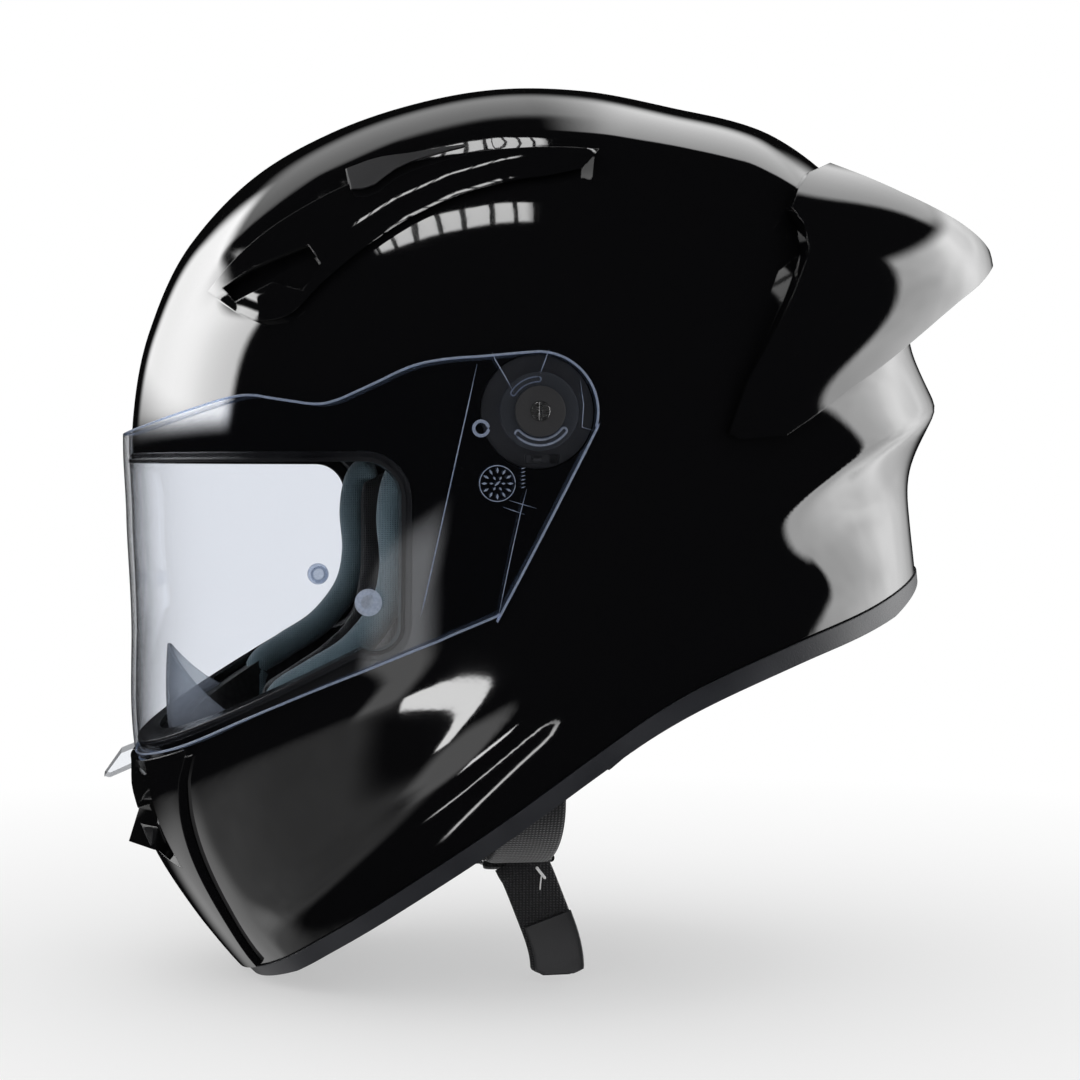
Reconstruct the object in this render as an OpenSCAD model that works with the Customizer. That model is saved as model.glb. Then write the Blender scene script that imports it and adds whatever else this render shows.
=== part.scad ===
// Full-face motorcycle helmet. Front is -Y, up is +Z, the rider's left is +X.
// The origin is the mid-point between the two visor hinges.

/* [Shell] */
// Half the width of the shell over the visor hinges, mm
shell_half_w = 125; // [124.5:0.5:125.5]
// Height of the trim band round the lower edge, mm
trim_h = 8.5; // [7.5:0.5:9]

/* [Visor] */
// Thickness of the visor sheet, mm
visor_t = 2.2; // [2:0.1:2.4]
// Radius of the anti-fog insert pins, mm
pin_r = 3.5; // [3.2:0.1:3.8]

/* [Hinge] */
// Radius of the fixed boss that the visor turns on, mm
boss_r = 6.5; // [6:0.1:7]
// Running clearance of the visor hub on its boss, mm on the radius
hub_clear = 0.05; // [0.04:0.01:0.08]

/* [Pads] */
// Thickness of the crown pad, mm
crown_t = 11; // [10:0.5:12]
// Thickness of the cheek pads, mm
cheek_t = 21; // [19:0.5:22]

/* [Hidden] */

// Radius of the shell about the hinge axis, from the back (+Y) over the crown to the front and
// under the chin, one value every 15 degrees
radii = [
  165, 167, 161, 149, 133, 125, 120.5, 118.3, 119.5, 123.2, 126.5, 130.5,
  132.8, 136.8, 151, 182, 213, 234, 236, 224, 207, 196, 187, 167
];
radii_step = 15;
grid = 7.5;           // angle between the facets of the outer surfaces
fine_grid = 5;        // the same where the radius rises locally
liner_grid = 9;       // the same for the liner and pads
bulge = 2.2;          // exponent of the cross-section, 2 is an ellipse
reach = 170;          // half length of the side cuts
far_low = -330;       // height below everything
far_high = 330;       // height above everything
round_turn = 1.3;     // turns round cuts so that their corners miss the facet corners

// Lower edge of the shell, seen from the side as [y, z]
rim_line = [
  [-150, -249], [-115, -220.5], [-91, -201], [-43, -164], [-10, -140], [23, -115.5],
  [44, -101], [66, -90], [97, -78], [125, -68.5], [158, -56], [200, -41]
];
// Upper and lower edge of the visor, seen from the side
visor_top = [
  [-165, -14], [-137, -6], [-117, 0.5], [-97, 6], [-84, 4.5], [-70, 3], [-56, 8.5],
  [-42, 15], [-30, 17.5], [-16, 18.5]
];
visor_low = [
  [-165, -139], [-137, -125.5], [-117, -116], [-97, -105], [-84, -98.5], [-70, -92], [-56, -86],
  [-42, -80], [-30, -75], [-16, -68]
];
visor_end_r = 20;
visor_corner = [-17.5, -61.5];
visor_corner_r = 7.5;

// Eye port
port_top_z = -16.5;
port_corner_top = [-57, -28.5];
port_corner_low = [-53.5, -71];
port_r_top = 12;
port_r_low = 8.5;
port_front_y = -168;
port_front_low_z = -138;
port_steps = 7;
seal_w = 3.4;         // width of the gasket
fit_gap = 0.12;       // gap between fixed neighbours

// Build-up of shell, liner and pads, each depth is measured from the outer surface
shell_t = 3.6;
liner_gap = 1;
eps_t = 23;           // thickness of the foam liner
eps_out = shell_t + liner_gap;
eps_in = eps_out + eps_t;
pad_out = eps_in + 0.6;
crown_in = pad_out + crown_t;
cheek_in = pad_out + cheek_t;

// Visor hinge
plate_r = 19;
plate_x = shell_half_w - 4.4;
plate_t = 2;
hub_r = 13;
hub_x = plate_x + plate_t + 0.3;
hub_l = 5.6;
cap_r = 8.4;
cap_t = 1.3;
cap_x = hub_x + hub_l + 0.1;
screw_r = 2;
screw_head_r = 3.1;
round_fn = 96;
touch = 0.05;         // gap between pieces that lie against each other

// ---- surfaces ------------------------------------------------------------

function knot(i) = radii[(i + 2 * len(radii)) % len(radii)];

function spline(p0, p1, p2, p3, f) =
  0.5 * (2 * p1 + (p2 - p0) * f + (2 * p0 - 5 * p1 + 4 * p2 - p3) * f * f
  + (3 * p1 - p0 - 3 * p2 + p3) * f * f * f);

function shell_r(a) =
  let (i = floor(a / radii_step), f = a / radii_step - i)
  spline(knot(i - 1), knot(i), knot(i + 1), knot(i + 2), f);

function smooth_line(pts, steps) = [
  for (i = [0 : len(pts) - 2], k = [0 : steps - 1])
    spline(
      pts[max(i - 1, 0)], pts[i], pts[i + 1], pts[min(i + 2, len(pts) - 1)], k / steps
    ),
  pts[len(pts) - 1]
];

function shift(line, dy, dz) = [for (p = line) p + [dy, dz]];

// A point of the surface that lies a stated distance outside the shell
function skin(a, t, off, grow) =
  let (
    s = sin(t),
    c = pow(max(1 - pow(abs(s), bulge), 0), 1 / bulge),
    r = shell_r(a) + off + grow
  )
  [(shell_half_w + off) * s, r * c * cos(a), r * c * sin(a)];

// Closed body bounded by that surface; rise adds radius round the angle rise_at
module body(off, da = grid, dt = grid, rise = 0, rise_at = 0, rise_w = 1) {
  na = 360 / da;
  nt = 180 / dt - 1;
  function lift(a) =
    let (d = abs(((a - rise_at + 540) % 360) - 180) / rise_w)
    d < 1 ? rise * pow(cos(90 * d), 2) : 0;
  points = [
    [-(shell_half_w + off), 0, 0],
    [shell_half_w + off, 0, 0],
    for (j = [1 : nt], i = [0 : na - 1]) skin(i * da, j * dt - 90, off, lift(i * da))
  ];
  function at(i, j) = 2 + (j - 1) * na + i % na;
  polyhedron(
    points,
    [
      for (i = [0 : na - 1]) [0, at(i, 1), at(i + 1, 1)],
      for (i = [0 : na - 1]) [1, at(i + 1, nt), at(i, nt)],
      for (j = [1 : nt - 1], i = [0 : na - 1]) [at(i, j), at(i, j + 1), at(i + 1, j)],
      for (j = [1 : nt - 1], i = [0 : na - 1]) [at(i + 1, j), at(i, j + 1), at(i + 1, j + 1)]
    ],
    convexity = 6
  );
}

module layer(out, in, da = grid, dt = grid) {
  difference() {
    body(out, da, dt);
    body(in, da, dt);
  }
}

// ---- side cuts -----------------------------------------------------------

// Extends a side-view outline across the helmet
module across() {
  rotate([90, 0, 90])
    linear_extrude(2 * reach, center = true)
      children();
}

// Side-view area between two lines with the same number of points
module band(top, low) {
  for (i = [0 : len(top) - 2])
    hull()
      polygon([top[i], top[i + 1], low[i + 1], low[i]]);
}

module side_band(top, low) {
  across()
    band(top, low);
}

function flat_line(line, z) = [for (p = line) [p[0], z]];

module below_rim(drop) {
  line = shift(smooth_line(rim_line, 2), 0, -drop);
  side_band(line, flat_line(line, far_low));
}

module left_side(x0 = 0) {
  translate([x0, -reach * 1.5, -reach * 2])
    cube([reach, reach * 3, reach * 4]);
}

module mirrored(side) {
  mirror([side < 0 ? 1 : 0, 0, 0])
    children();
}

function port_line(c, r, from, to) = [
  for (k = [0 : port_steps - 1])
    let (b = from + (to - from) * k / (port_steps - 1))
    c + r * [cos(b), sin(b)]
];

// The eye port seen from the side, grown outwards by g
module port(g) {
  top = concat(
    [[port_front_y, port_top_z + g]],
    port_line(port_corner_top, port_r_top + g, 90, 0)
  );
  low = concat(
    [[port_front_y, port_front_low_z - g * 1.1]],
    port_line(port_corner_low, port_r_low + g, 244, 360)
  );
  side_band(top, low);
}

// ---- outside -------------------------------------------------------------

module pivot_pockets() {
  for (side = [-1, 1])
    on_pivot(side, plate_x - touch)
      rotate(round_turn)
        cylinder(r = plate_r + 0.35, h = 20, $fn = 48);
}

module pivot_bosses(r, x0, x1) {
  for (side = [-1, 1])
    on_pivot(side, x0)
      rotate(round_turn)
        cylinder(r = r, h = x1 - x0, $fn = 48);
}

top_slots = [[-64, 60], [-40, 73], [-16, 80]];

module outer_shell() {
  color([0.02, 0.02, 0.022])
    difference() {
      union() {
        difference() {
          body(0);
          body(-shell_t, liner_grid, liner_grid);
        }
        intersection() {
          body(-1);
          pivot_bosses(plate_r + 5, plate_x - 3.2, plate_x + 2);
        }
      }
      pivot_pockets();
      for (side = [-1, 1])
        on_pivot(side, plate_x - 6)
          rotate(round_turn)
            cylinder(r = screw_r + 0.1, h = 12, $fn = 32);
      port(seal_w + fit_gap);
      below_rim(0);
      intake_slots();
      exhaust_slots();
      chin_slot();
    }
}

// Air slots under the top vent fairings
module intake_slots() {
  for (side = [-1, 1], s = top_slots)
    mirrored(side)
      hull()
        for (dy = [-7, 7])
          translate([70, s[0] + dy, s[1] + dy * 0.6])
            rotate([0, 90, 0])
              cylinder(r = 3, h = 60, $fn = 24);
}

// Air slots under the spoiler
module exhaust_slots() {
  for (x = [-24, 0, 24])
    hull()
      for (dx = [-7, 7])
        translate([x + dx, 130, 48])
          rotate([-90, 0, 0])
            cylinder(r = 3, h = 60, $fn = 24);
}

// Air slot behind the chin vent
module chin_slot() {
  hull()
    for (dx = [-14, 14])
      translate([dx, -160, -150])
        rotate([-90, 0, 0])
          cylinder(r = 4, h = 60, $fn = 24);
}

// Everything below the plane that the helmet stands on
stand_tilt = 30.4;
stand_at = [-86, -203.6];
module below_stand() {
  translate([0, stand_at[0], stand_at[1]])
    rotate([stand_tilt, 0, 0])
      translate([-reach, -reach, -80])
        cube([2 * reach, 4 * reach, 80]);
}

module base_trim() {
  color([0.07, 0.07, 0.075])
    difference() {
      layer(0.7, -12);
      side_band(
        shift(smooth_line(rim_line, 2), 0, -fit_gap),
        flat_line(smooth_line(rim_line, 2), far_high)
      );
      below_rim(trim_h);
      below_stand();
    }
}

module eyeport_gasket() {
  color([0.03, 0.03, 0.03])
    intersection() {
      layer(0.7, -9);
      difference() {
        port(seal_w);
        port(0);
      }
    }
}

// Chin panel: a centre strip that stands proud and ends in the lip of the vent
chin_out = 3.2;
// Half of its outline seen from the front, [x, z]
chin_edge = [
  [66, -100], [66, -119], [58, -140], [51, -161], [44, -182], [39, -195], [33, -216]
];
module chin_region() {
  for (side = [-1, 1])
    mirrored(side)
      translate([0, -50, 0])
        rotate([90, 0, 0])
          linear_extrude(120)
            polygon(concat(chin_edge, [[-touch, -216], [-touch, -100]]));
}

module vent_hole(w, h, d) {
  hull()
    for (sx = [-1, 1], sz = [-1, 1])
      translate([sx * (w - 2), -170, -151 + sz * (h - 2)])
        rotate([-90, 0, 0])
          cylinder(r = 2, h = d, $fn = 24);
}

module chin_panel() {
  color([0.025, 0.025, 0.027])
    difference() {
      intersection() {
        difference() {
          body(chin_out, fine_grid, grid, 7, 230, 10);
          body(0.15);
        }
        chin_region();
      }
      vent_hole(22, 6.5, 100);
      translate([tab_x - 13, -200, -130.5])
        cube([26, 200, 100]);
      side_band(
        shift(smooth_line(visor_low, 1), 0, -1.2),
        flat_line(visor_low, 60)
      );
      below_rim(-1);
    }
}

// Sliding door of the chin vent, with grip ribs
door_z = -153.4;
module chin_vent_slider() {
  color([0.05, 0.05, 0.055])
    difference() {
      intersection() {
        body(chin_out + 3.2);
        hull()
          for (sx = [-1, 1], sz = [-1, 1])
            translate([sx * 18, -170, door_z + sz * 1.6])
              rotate([-90, 0, 0])
                cylinder(r = 2, h = 60, $fn = 16);
      }
      body(0.6);
      for (x = [-15 : 5 : 15])
        hull()
          for (sz = [-1, 1])
            translate([x, -139, door_z + sz * 1.4])
              rotate([-90, 0, 0])
                cylinder(r = 0.9, h = 8.4, $fn = 8);
    }
}

// ---- top vents -----------------------------------------------------------

cover_top = [
  [-107, 42], [-99, 52], [-88, 62], [-74, 71], [-58, 79], [-40, 85], [-20, 89], [0, 91],
  [16, 91.5], [26, 91]
];
cover_low = [
  [-97, 34], [-90, 31], [-80, 33], [-70, 43], [-57, 54], [-41, 65], [-24, 73], [-6, 78.5],
  [8, 81], [20, 84]
];
cover_out = 2.2;       // low enough for the raised visor to pass over
cover_x = 50;

module vent_cover(side) {
  mirrored(side)
    difference() {
      intersection() {
        layer(cover_out, 0.15);
        side_band(cover_top, cover_low);
        left_side(cover_x);
      }
      // intake mouth at the front
      intersection() {
        layer(cover_out + 2, 1.2);
        side_band(shift(cover_top, 0, -4), shift(cover_low, 0, 4));
        translate([cover_x, -130, 0])
          cube([80, 58, 90]);
      }
      intake_slots();
    }
}

module top_vent_cover_left() {
  color([0.02, 0.02, 0.022])
    vent_cover(1);
}

module top_vent_cover_right() {
  color([0.02, 0.02, 0.022])
    vent_cover(-1);
}

slider_top = [
  [-60, 84], [-56, 85.5], [-52, 87], [-48, 88], [-44, 88.5], [-39, 89], [-33, 90], [-27, 91],
  [-20, 92]
];
slider_low = [
  [-59, 76], [-55, 76], [-51, 77.5], [-48, 80], [-44, 83], [-39, 85.5], [-33, 87.6], [-27, 89.4],
  [-20, 91.2]
];

module vent_slider(side) {
  mirrored(side)
    intersection() {
      difference() {
        body(cover_out + 4);
        body(cover_out + 0.5);
      }
      side_band(slider_top, slider_low);
      left_side(cover_x);
    }
}

module top_vent_slider_left() {
  color([0.06, 0.06, 0.065])
    vent_slider(1);
}

module top_vent_slider_right() {
  color([0.06, 0.06, 0.065])
    vent_slider(-1);
}

// ---- spoiler -------------------------------------------------------------

spoiler_top = [
  [66, -7], [72, 10], [80, 24], [89, 40], [97, 56], [97, 66], [94, 72], [99, 80], [106, 87],
  [118, 92.5], [142, 81], [166, 71.5], [183, 64], [191, 61]
];
spoiler_low = [
  [70, -9], [88, -7.5], [97, -2], [106, 4], [114, 9.5], [122, 14.5], [130, 20], [137, 25],
  [144, 30], [151, 35], [160, 41], [172, 48], [183, 55.5], [191, 60.2]
];

module rear_spoiler() {
  color([0.02, 0.02, 0.022])
    difference() {
      intersection() {
        body(2.6, fine_grid, grid, 34, 20, 25);
        side_band(spoiler_top, spoiler_low);
      }
      body(0.15);
      // hollow underside behind the exhaust slots
      intersection() {
        body(0.2, fine_grid, grid, 34, 20, 25);
        rotate([90, 0, 90])
          linear_extrude(84, center = true)
            polygon([[117, 77], [173, 54], [150, 20], [117, 11]]);
      }
    }
}

module exhaust_grille() {
  color([0.05, 0.05, 0.05])
    difference() {
      intersection() {
        layer(1.9, 0.2);
        hull()
          for (sx = [-1, 1], sz = [-1, 1])
            translate([sx * 34, 100, 48 + sz * 6])
              rotate([-90, 0, 0])
                cylinder(r = 3, h = 90, $fn = 16);
      }
      for (x = [-28 : 8 : 28])
        hull()
          for (sz = [-1, 1])
            translate([x, 100, 48 + sz * 5])
              rotate([-90, 0, 0])
                cylinder(r = 2.4, h = 100, $fn = 8);
    }
}

// ---- visor hinge ---------------------------------------------------------

lever_w = 8;
lever_h = 2.8;
lever_z = -15.6;
lever_t = 1.5;
lever_travel = 3;

module on_pivot(side, x) {
  mirrored(side)
    translate([x, 0, 0])
      rotate([0, 90, 0])
        children();
}

module pivot_base(side) {
  difference() {
    union() {
      on_pivot(side, plate_x)
        cylinder(r = plate_r, h = plate_t, $fn = round_fn);
      on_pivot(side, plate_x)
        cylinder(r = boss_r, h = cap_x - touch - plate_x, $fn = round_fn);
    }
    on_pivot(side, plate_x - 1)
      cylinder(r = screw_r, h = 20, $fn = 48);
    mirrored(side)
      translate([plate_x + 0.45, -lever_w / 2 - 0.15, lever_z - lever_h / 2 - touch])
        cube([5, lever_w + lever_travel + 0.5, lever_h + 2 * touch]);
  }
}

module pivot_base_left() {
  color([0.09, 0.09, 0.095])
    pivot_base(1);
}

module pivot_base_right() {
  color([0.09, 0.09, 0.095])
    pivot_base(-1);
}

module pivot_caps() {
  color([0.16, 0.16, 0.17])
    for (side = [-1, 1])
      difference() {
        on_pivot(side, cap_x)
          cylinder(r = cap_r, h = cap_t, $fn = round_fn);
        on_pivot(side, cap_x - 1)
          cylinder(r = screw_r + 0.1, h = 4, $fn = 48);
        on_pivot(side, cap_x + 0.6)
          cylinder(r = screw_head_r + 0.1, h = 4, $fn = 48);
      }
}

module pivot_screws() {
  color([0.55, 0.55, 0.56])
    for (side = [-1, 1])
      difference() {
        union() {
          on_pivot(side, plate_x - 4)
            cylinder(r = screw_r - 0.1, h = cap_x + 0.7 - plate_x + 4, $fn = 48);
          on_pivot(side, cap_x + 0.65)
            cylinder(r = screw_head_r, h = 1.3, $fn = 48);
        }
        mirrored(side)
          translate([cap_x + 1.3, -0.5, -5])
            cube([3, 1, 10]);
      }
}

module release_lever(side) {
  mirrored(side)
    translate([plate_x + 0.5, -lever_w / 2, lever_z - lever_h / 2]) {
      cube([lever_t, lever_w, lever_h]);
      translate([0, lever_w * 0.3, lever_h * 0.3])
        cube([lever_t + 0.9, lever_w * 0.4, lever_h * 0.4]);
    }
}

module release_lever_left() {
  color([0.06, 0.06, 0.065])
    release_lever(1);
}

module release_lever_right() {
  color([0.06, 0.06, 0.065])
    release_lever(-1);
}

// ---- visor ---------------------------------------------------------------

visor_gap = 1.2;      // air gap between the shell and the visor
visor_off = visor_gap + visor_t;

module visor_outline() {
  across() {
    band(visor_top, visor_low);
    hull() {
      rotate(round_turn)
        circle(r = visor_end_r, $fn = 48);
      translate([-16, -1.5])
        circle(r = visor_end_r, $fn = 48);
      translate(visor_corner)
        circle(r = visor_corner_r, $fn = 32);
      translate([-26, -66])
        circle(r = visor_corner_r, $fn = 32);
    }
  }
}

// Pull tab on the lower edge
tab_x = 14;
module pull_tab() {
  intersection() {
    difference() {
      body(visor_off + 6);
      body(visor_gap + 1);
    }
    hull()
      for (x = [tab_x - 9, tab_x + 9], z = [-125.5, -119])
        translate([x, -180, z])
          rotate([-90, 0, 0])
            cylinder(r = 2.5, h = 80, $fn = 16);
  }
}

module visor() {
  color([0.75, 0.8, 0.86, 0.35])
    difference() {
      union() {
        intersection() {
          layer(visor_off, visor_gap);
          visor_outline();
        }
        pull_tab();
      }
      pivot_bosses(hub_r + touch, 100, 140);
      visor_pin_holes();
    }
}

module visor_hub(side) {
  difference() {
    on_pivot(side, hub_x)
      cylinder(r = hub_r, h = hub_l, $fn = round_fn);
    on_pivot(side, hub_x - 1)
      cylinder(r = boss_r + hub_clear, h = hub_l + 2, $fn = round_fn);
  }
}

module visor_hub_left() {
  color([0.75, 0.8, 0.86, 0.5])
    visor_hub(1);
}

module visor_hub_right() {
  color([0.75, 0.8, 0.86, 0.5])
    visor_hub(-1);
}

// Anti-fog insert pins: axis across the helmet, inside face of the visor
pin_at = [-56, -63];
pin_x = shell_half_w - 14.4;   // inner end of the stud
pin_l = 3.6;                   // length of the stud
pin_head_x = shell_half_w - 5;
pin_head_t = 1.2;

module visor_pin_holes() {
  for (side = [-1, 1])
    mirrored(side)
      translate([pin_x - 10, pin_at[0], pin_at[1]])
        rotate([0, 90, 0])
          cylinder(r = pin_r - 0.95, h = 40, $fn = 24);
}

module insert_pins() {
  color([0.8, 0.82, 0.85, 0.6])
    for (side = [-1, 1])
      mirrored(side)
        translate([pin_x, pin_at[0], pin_at[1]])
          rotate([0, 90, 0]) {
            cylinder(r = pin_r, h = pin_l, $fn = round_fn);
            cylinder(r = pin_r - 1, h = pin_head_x + pin_head_t - pin_x, $fn = 48);
            translate([0, 0, pin_head_x - pin_x])
              cylinder(r = pin_r + 1, h = pin_head_t, $fn = 48);
          }
}

// ---- liner and pads ------------------------------------------------------

module eps_liner() {
  color([0.12, 0.12, 0.125])
    difference() {
      body(-eps_out, liner_grid, liner_grid);
      body(-eps_in, liner_grid, liner_grid);
      port(seal_w + 0.8);
      below_rim(-2);
      translate([-reach, -260, -300])
        cube([2 * reach, 260 - 47, 300 - 84]);
      pivot_bosses(plate_r + 6, plate_x - 4.5, 140);
      strap_slots();
    }
}

module chin_liner() {
  color([0.1, 0.1, 0.105])
    intersection() {
      difference() {
        body(-eps_out, liner_grid, liner_grid);
        body(-eps_in + 4, liner_grid, liner_grid);
        port(seal_w + 1);
        below_rim(-2);
        chin_slot();
        guard_band(guard_out + fit_gap, guard_in - fit_gap, fit_gap);
      }
      translate([-reach, -260, -300])
        cube([2 * reach, 260 - 48, 300 - 85]);
    }
}

// Slots in the foam for the straps
module strap_slots() {
  for (side = [-1, 1])
    mirrored(side)
      translate([strap_x - 3, strap_y - 16, -200])
        cube([60, 32, 122]);
}

crown_edge = [
  [-104, 4], [-92, 6], [-70, 10], [-44, 16], [-16, 20], [14, 20], [44, 14], [72, 2], [98, -14],
  [126, -26]
];

module crown_pad() {
  color([0.08, 0.08, 0.085])
    intersection() {
      layer(-pad_out, -crown_in, liner_grid, liner_grid);
      side_band(flat_line(crown_edge, 130), crown_edge);
    }
}

cheek_top = [
  [-84, -104], [-72, -97], [-58, -88], [-49, -76], [-45, -60], [-43, -24], [-38, -20],
  [-28, -17], [-16, -15], [-4, -15], [10, -17], [24, -22], [36, -30], [44, -42]
];
cheek_low = [
  [-84, -124], [-72, -138], [-58, -150], [-49, -152], [-45, -151], [-43, -150], [-38, -149],
  [-28, -145], [-16, -138], [-4, -129], [10, -120], [24, -111], [36, -102], [44, -97]
];

module cheek_pad(side) {
  mirrored(side)
    intersection() {
      layer(-pad_out, -cheek_in, liner_grid, liner_grid);
      side_band(cheek_top, cheek_low);
      left_side(40);
    }
}

module cheek_pad_left() {
  color([0.09, 0.1, 0.11])
    cheek_pad(1);
}

module cheek_pad_right() {
  color([0.09, 0.1, 0.11])
    cheek_pad(-1);
}

roll_top = [
  [51, -61], [57, -56], [66, -52], [78, -48], [90, -45], [104, -42], [120, -38], [136, -34],
  [150, -30]
];
roll_low = [
  [51, -101], [57, -98], [66, -93], [78, -89], [90, -85.5], [104, -80.5], [120, -75], [136, -69.5],
  [150, -65]
];

module neck_roll() {
  color([0.1, 0.11, 0.12])
    intersection() {
      layer(-pad_out, -pad_out - 16, liner_grid, liner_grid);
      side_band(roll_top, roll_low);
    }
}

// Pull tabs sewn to the lower back corner of the cheek pads
module cheek_tabs() {
  color([0.3, 0.32, 0.35])
    for (side = [-1, 1])
      mirrored(side)
        hull() {
          translate([68, 26, -116])
            rotate([0, 90, 0])
              cylinder(r = 2, h = 1.6, $fn = 32);
          translate([68, 40, -106])
            rotate([0, 90, 0])
              cylinder(r = 2, h = 1.6, $fn = 32);
          translate([68, 38, -123])
            rotate([0, 90, 0])
              cylinder(r = 5, h = 1.6, $fn = 32);
        }
}

guard_out = -13;
guard_in = -15.4;
guard_top = [
  [-150, -84], [-140, -84], [-130, -84], [-120, -84], [-112, -94.6], [-104, -101.5],
  [-96, -105], [-88, -103.5], [-82, -101]
];
guard_low = [
  [-150, -136], [-140, -130], [-130, -125], [-120, -120], [-112, -116], [-104, -112.5],
  [-96, -109], [-88, -106], [-82, -103]
];

// Curved fin that stands in a groove of the chin foam, highest in the middle
module guard_band(out, in, extra) {
  intersection() {
    layer(out, in);
    side_band(
      shift(guard_top, extra, extra),
      shift(guard_low, extra, -extra)
    );
  }
}

module breath_guard() {
  color([0.3, 0.31, 0.33])
    guard_band(guard_out, guard_in, 0);
}

// ---- straps --------------------------------------------------------------

strap_w = 22;
strap_t = 2;
strap_x = 90;
strap_y = 4;
strap_z = -134;       // hinge line of the hanging loop
swing_limit = 20;     // degrees either way
swing_gap = 0.09;     // round the rounded end
side_gap = 0.03;      // beside the straight edges at either limit
loop_drop = 33;
loop_steps = 34;
ring_wire = 1.5;
ring_r = 14;
ring_x = 40;          // straight bars of the rings
ring_z = -161.5;      // lower ring; the upper one lies ring_pitch above it
ring_pitch = 3.2;

module strap_anchors() {
  color([0.6, 0.6, 0.6])
    for (side = [-1, 1])
      mirrored(side)
        translate([strap_x + 3.2, strap_y - 10, -96])
          cube([1.5, 20, 14]);
}

module upper_strap(side) {
  mirrored(side)
    difference() {
      translate([strap_x + 0.6, strap_y - strap_w / 2, strap_z + 0.6])
        cube([strap_t, strap_w, 48]);
      swing_disc(strap_w / 2 + swing_gap, 1);
      for (a = [-swing_limit, swing_limit])
        translate([strap_x, strap_y, strap_z])
          rotate([a, 0, 0])
            translate([0, -strap_w / 2 - side_gap, -20])
              cube([4, strap_w + 2 * side_gap, 20]);
    }
}

// Disc round the hinge line of the loop, in the plane of the webbing
module swing_disc(r, extra = 0) {
  translate([strap_x + 0.6 - extra, strap_y, strap_z])
    rotate([0, 90, 0])
      cylinder(r = r, h = strap_t + 2 * extra, $fn = 48);
}

// Rounded top end of the loop, which turns inside the cut end of the upper strap
module swing_end(side) {
  mirrored(side)
    intersection() {
      swing_disc(strap_w / 2);
      translate([strap_x, strap_y - strap_w, strap_z - 0.5])
        cube([4, 2 * strap_w, strap_w]);
    }
}

module strap_left() {
  color([0.03, 0.03, 0.03])
    upper_strap(1);
}

module strap_right() {
  color([0.03, 0.03, 0.03])
    upper_strap(-1);
}

// The loop hangs from both sides on one hinge line
function loop_at(k, r) =
  let (b = 180 * k / loop_steps)
  [(strap_x + 2.6 - r) * cos(b), -(loop_drop - r) * sin(b)];

// Webbing of the loop between two steps, seen from the front
module loop_part(from, to) {
  polygon(concat(
    [for (k = [from : to]) loop_at(k, 0)],
    [for (k = [to : -1 : from]) loop_at(k, strap_t)]
  ));
}

module across_strap(extra = 0) {
  translate([0, strap_y, 0])
    rotate([90, 0, 0])
      linear_extrude(strap_w + 2 * extra, center = true)
        children();
}

// Rounded slot shape round both rings
module eye(w, r) {
  hull()
    for (dx = [-w / 2, w / 2], dz = [0, ring_pitch])
      translate([ring_x + dx, ring_z + dz])
        circle(r = r, $fn = 32);
}

// Short end: carries both rings in its fold
module chin_strap_short() {
  color([0.03, 0.03, 0.03])
    difference() {
      union() {
        across_strap()
          translate([0, strap_z])
            loop_part(0, 12);
        swing_end(1);
        across_strap()
          eye(0, ring_wire + 0.3 + strap_t);
      }
      across_strap(1)
        eye(0, ring_wire + 0.3);
    }
}

// Long end: comes from the other side and folds round the bows of the rings
module chin_strap_long() {
  color([0.03, 0.03, 0.03])
    difference() {
      union() {
        across_strap()
          translate([0, strap_z])
            loop_part(13, loop_steps);
        swing_end(-1);
        across_strap()
          translate([-ring_r + 3, 0])
            eye(6.4, ring_wire + 0.3 + strap_t);
      }
      across_strap(1)
        translate([-ring_r + 3, 0])
          eye(6.4, ring_wire + 0.3);
    }
}

module d_ring() {
  rotate([0, 0, 90])
    rotate_extrude(angle = 180, $fn = 48)
      translate([ring_r, 0])
        circle(r = ring_wire, $fn = 24);
  rotate([90, 0, 0])
    cylinder(r = ring_wire, h = 2 * ring_r, center = true, $fn = 32);
}

module d_rings() {
  color([0.75, 0.75, 0.76])
    for (z = [0, ring_pitch])
      translate([ring_x, strap_y, ring_z + z])
        d_ring();
}

// Free end: seen from the side, it leans back as it hangs
tail_x = 45;
tail_top = -163.6;
module strap_tail() {
  color([0.03, 0.03, 0.03])
    translate([tail_x, 0, 0])
      rotate([90, 0, 90])
        linear_extrude(strap_t)
          polygon([
            [strap_y - 10, tail_top], [strap_y + 10, tail_top], [19, -166], [27, -182],
            [28.5, -190], [25, -201], [21, -204], [16, -204.5], [12.5, -200], [3, -176]
          ]);
}

// ---- which node ----------------------------------------------------------

outer_shell();
base_trim();
eyeport_gasket();
chin_panel();
chin_vent_slider();
rear_spoiler();
exhaust_grille();
top_vent_cover_left();
top_vent_cover_right();
top_vent_slider_left();
top_vent_slider_right();
pivot_base_left();
pivot_base_right();
pivot_caps();
pivot_screws();
release_lever_left();
release_lever_right();
visor();
visor_hub_left();
visor_hub_right();
insert_pins();
eps_liner();
chin_liner();
crown_pad();
cheek_pad_left();
cheek_pad_right();
neck_roll();
cheek_tabs();
breath_guard();
strap_anchors();
strap_left();
strap_right();
chin_strap_short();
chin_strap_long();
d_rings();
strap_tail();
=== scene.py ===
import math

import bmesh
import bpy
import numpy as np
from mathutils import Matrix, Vector


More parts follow.
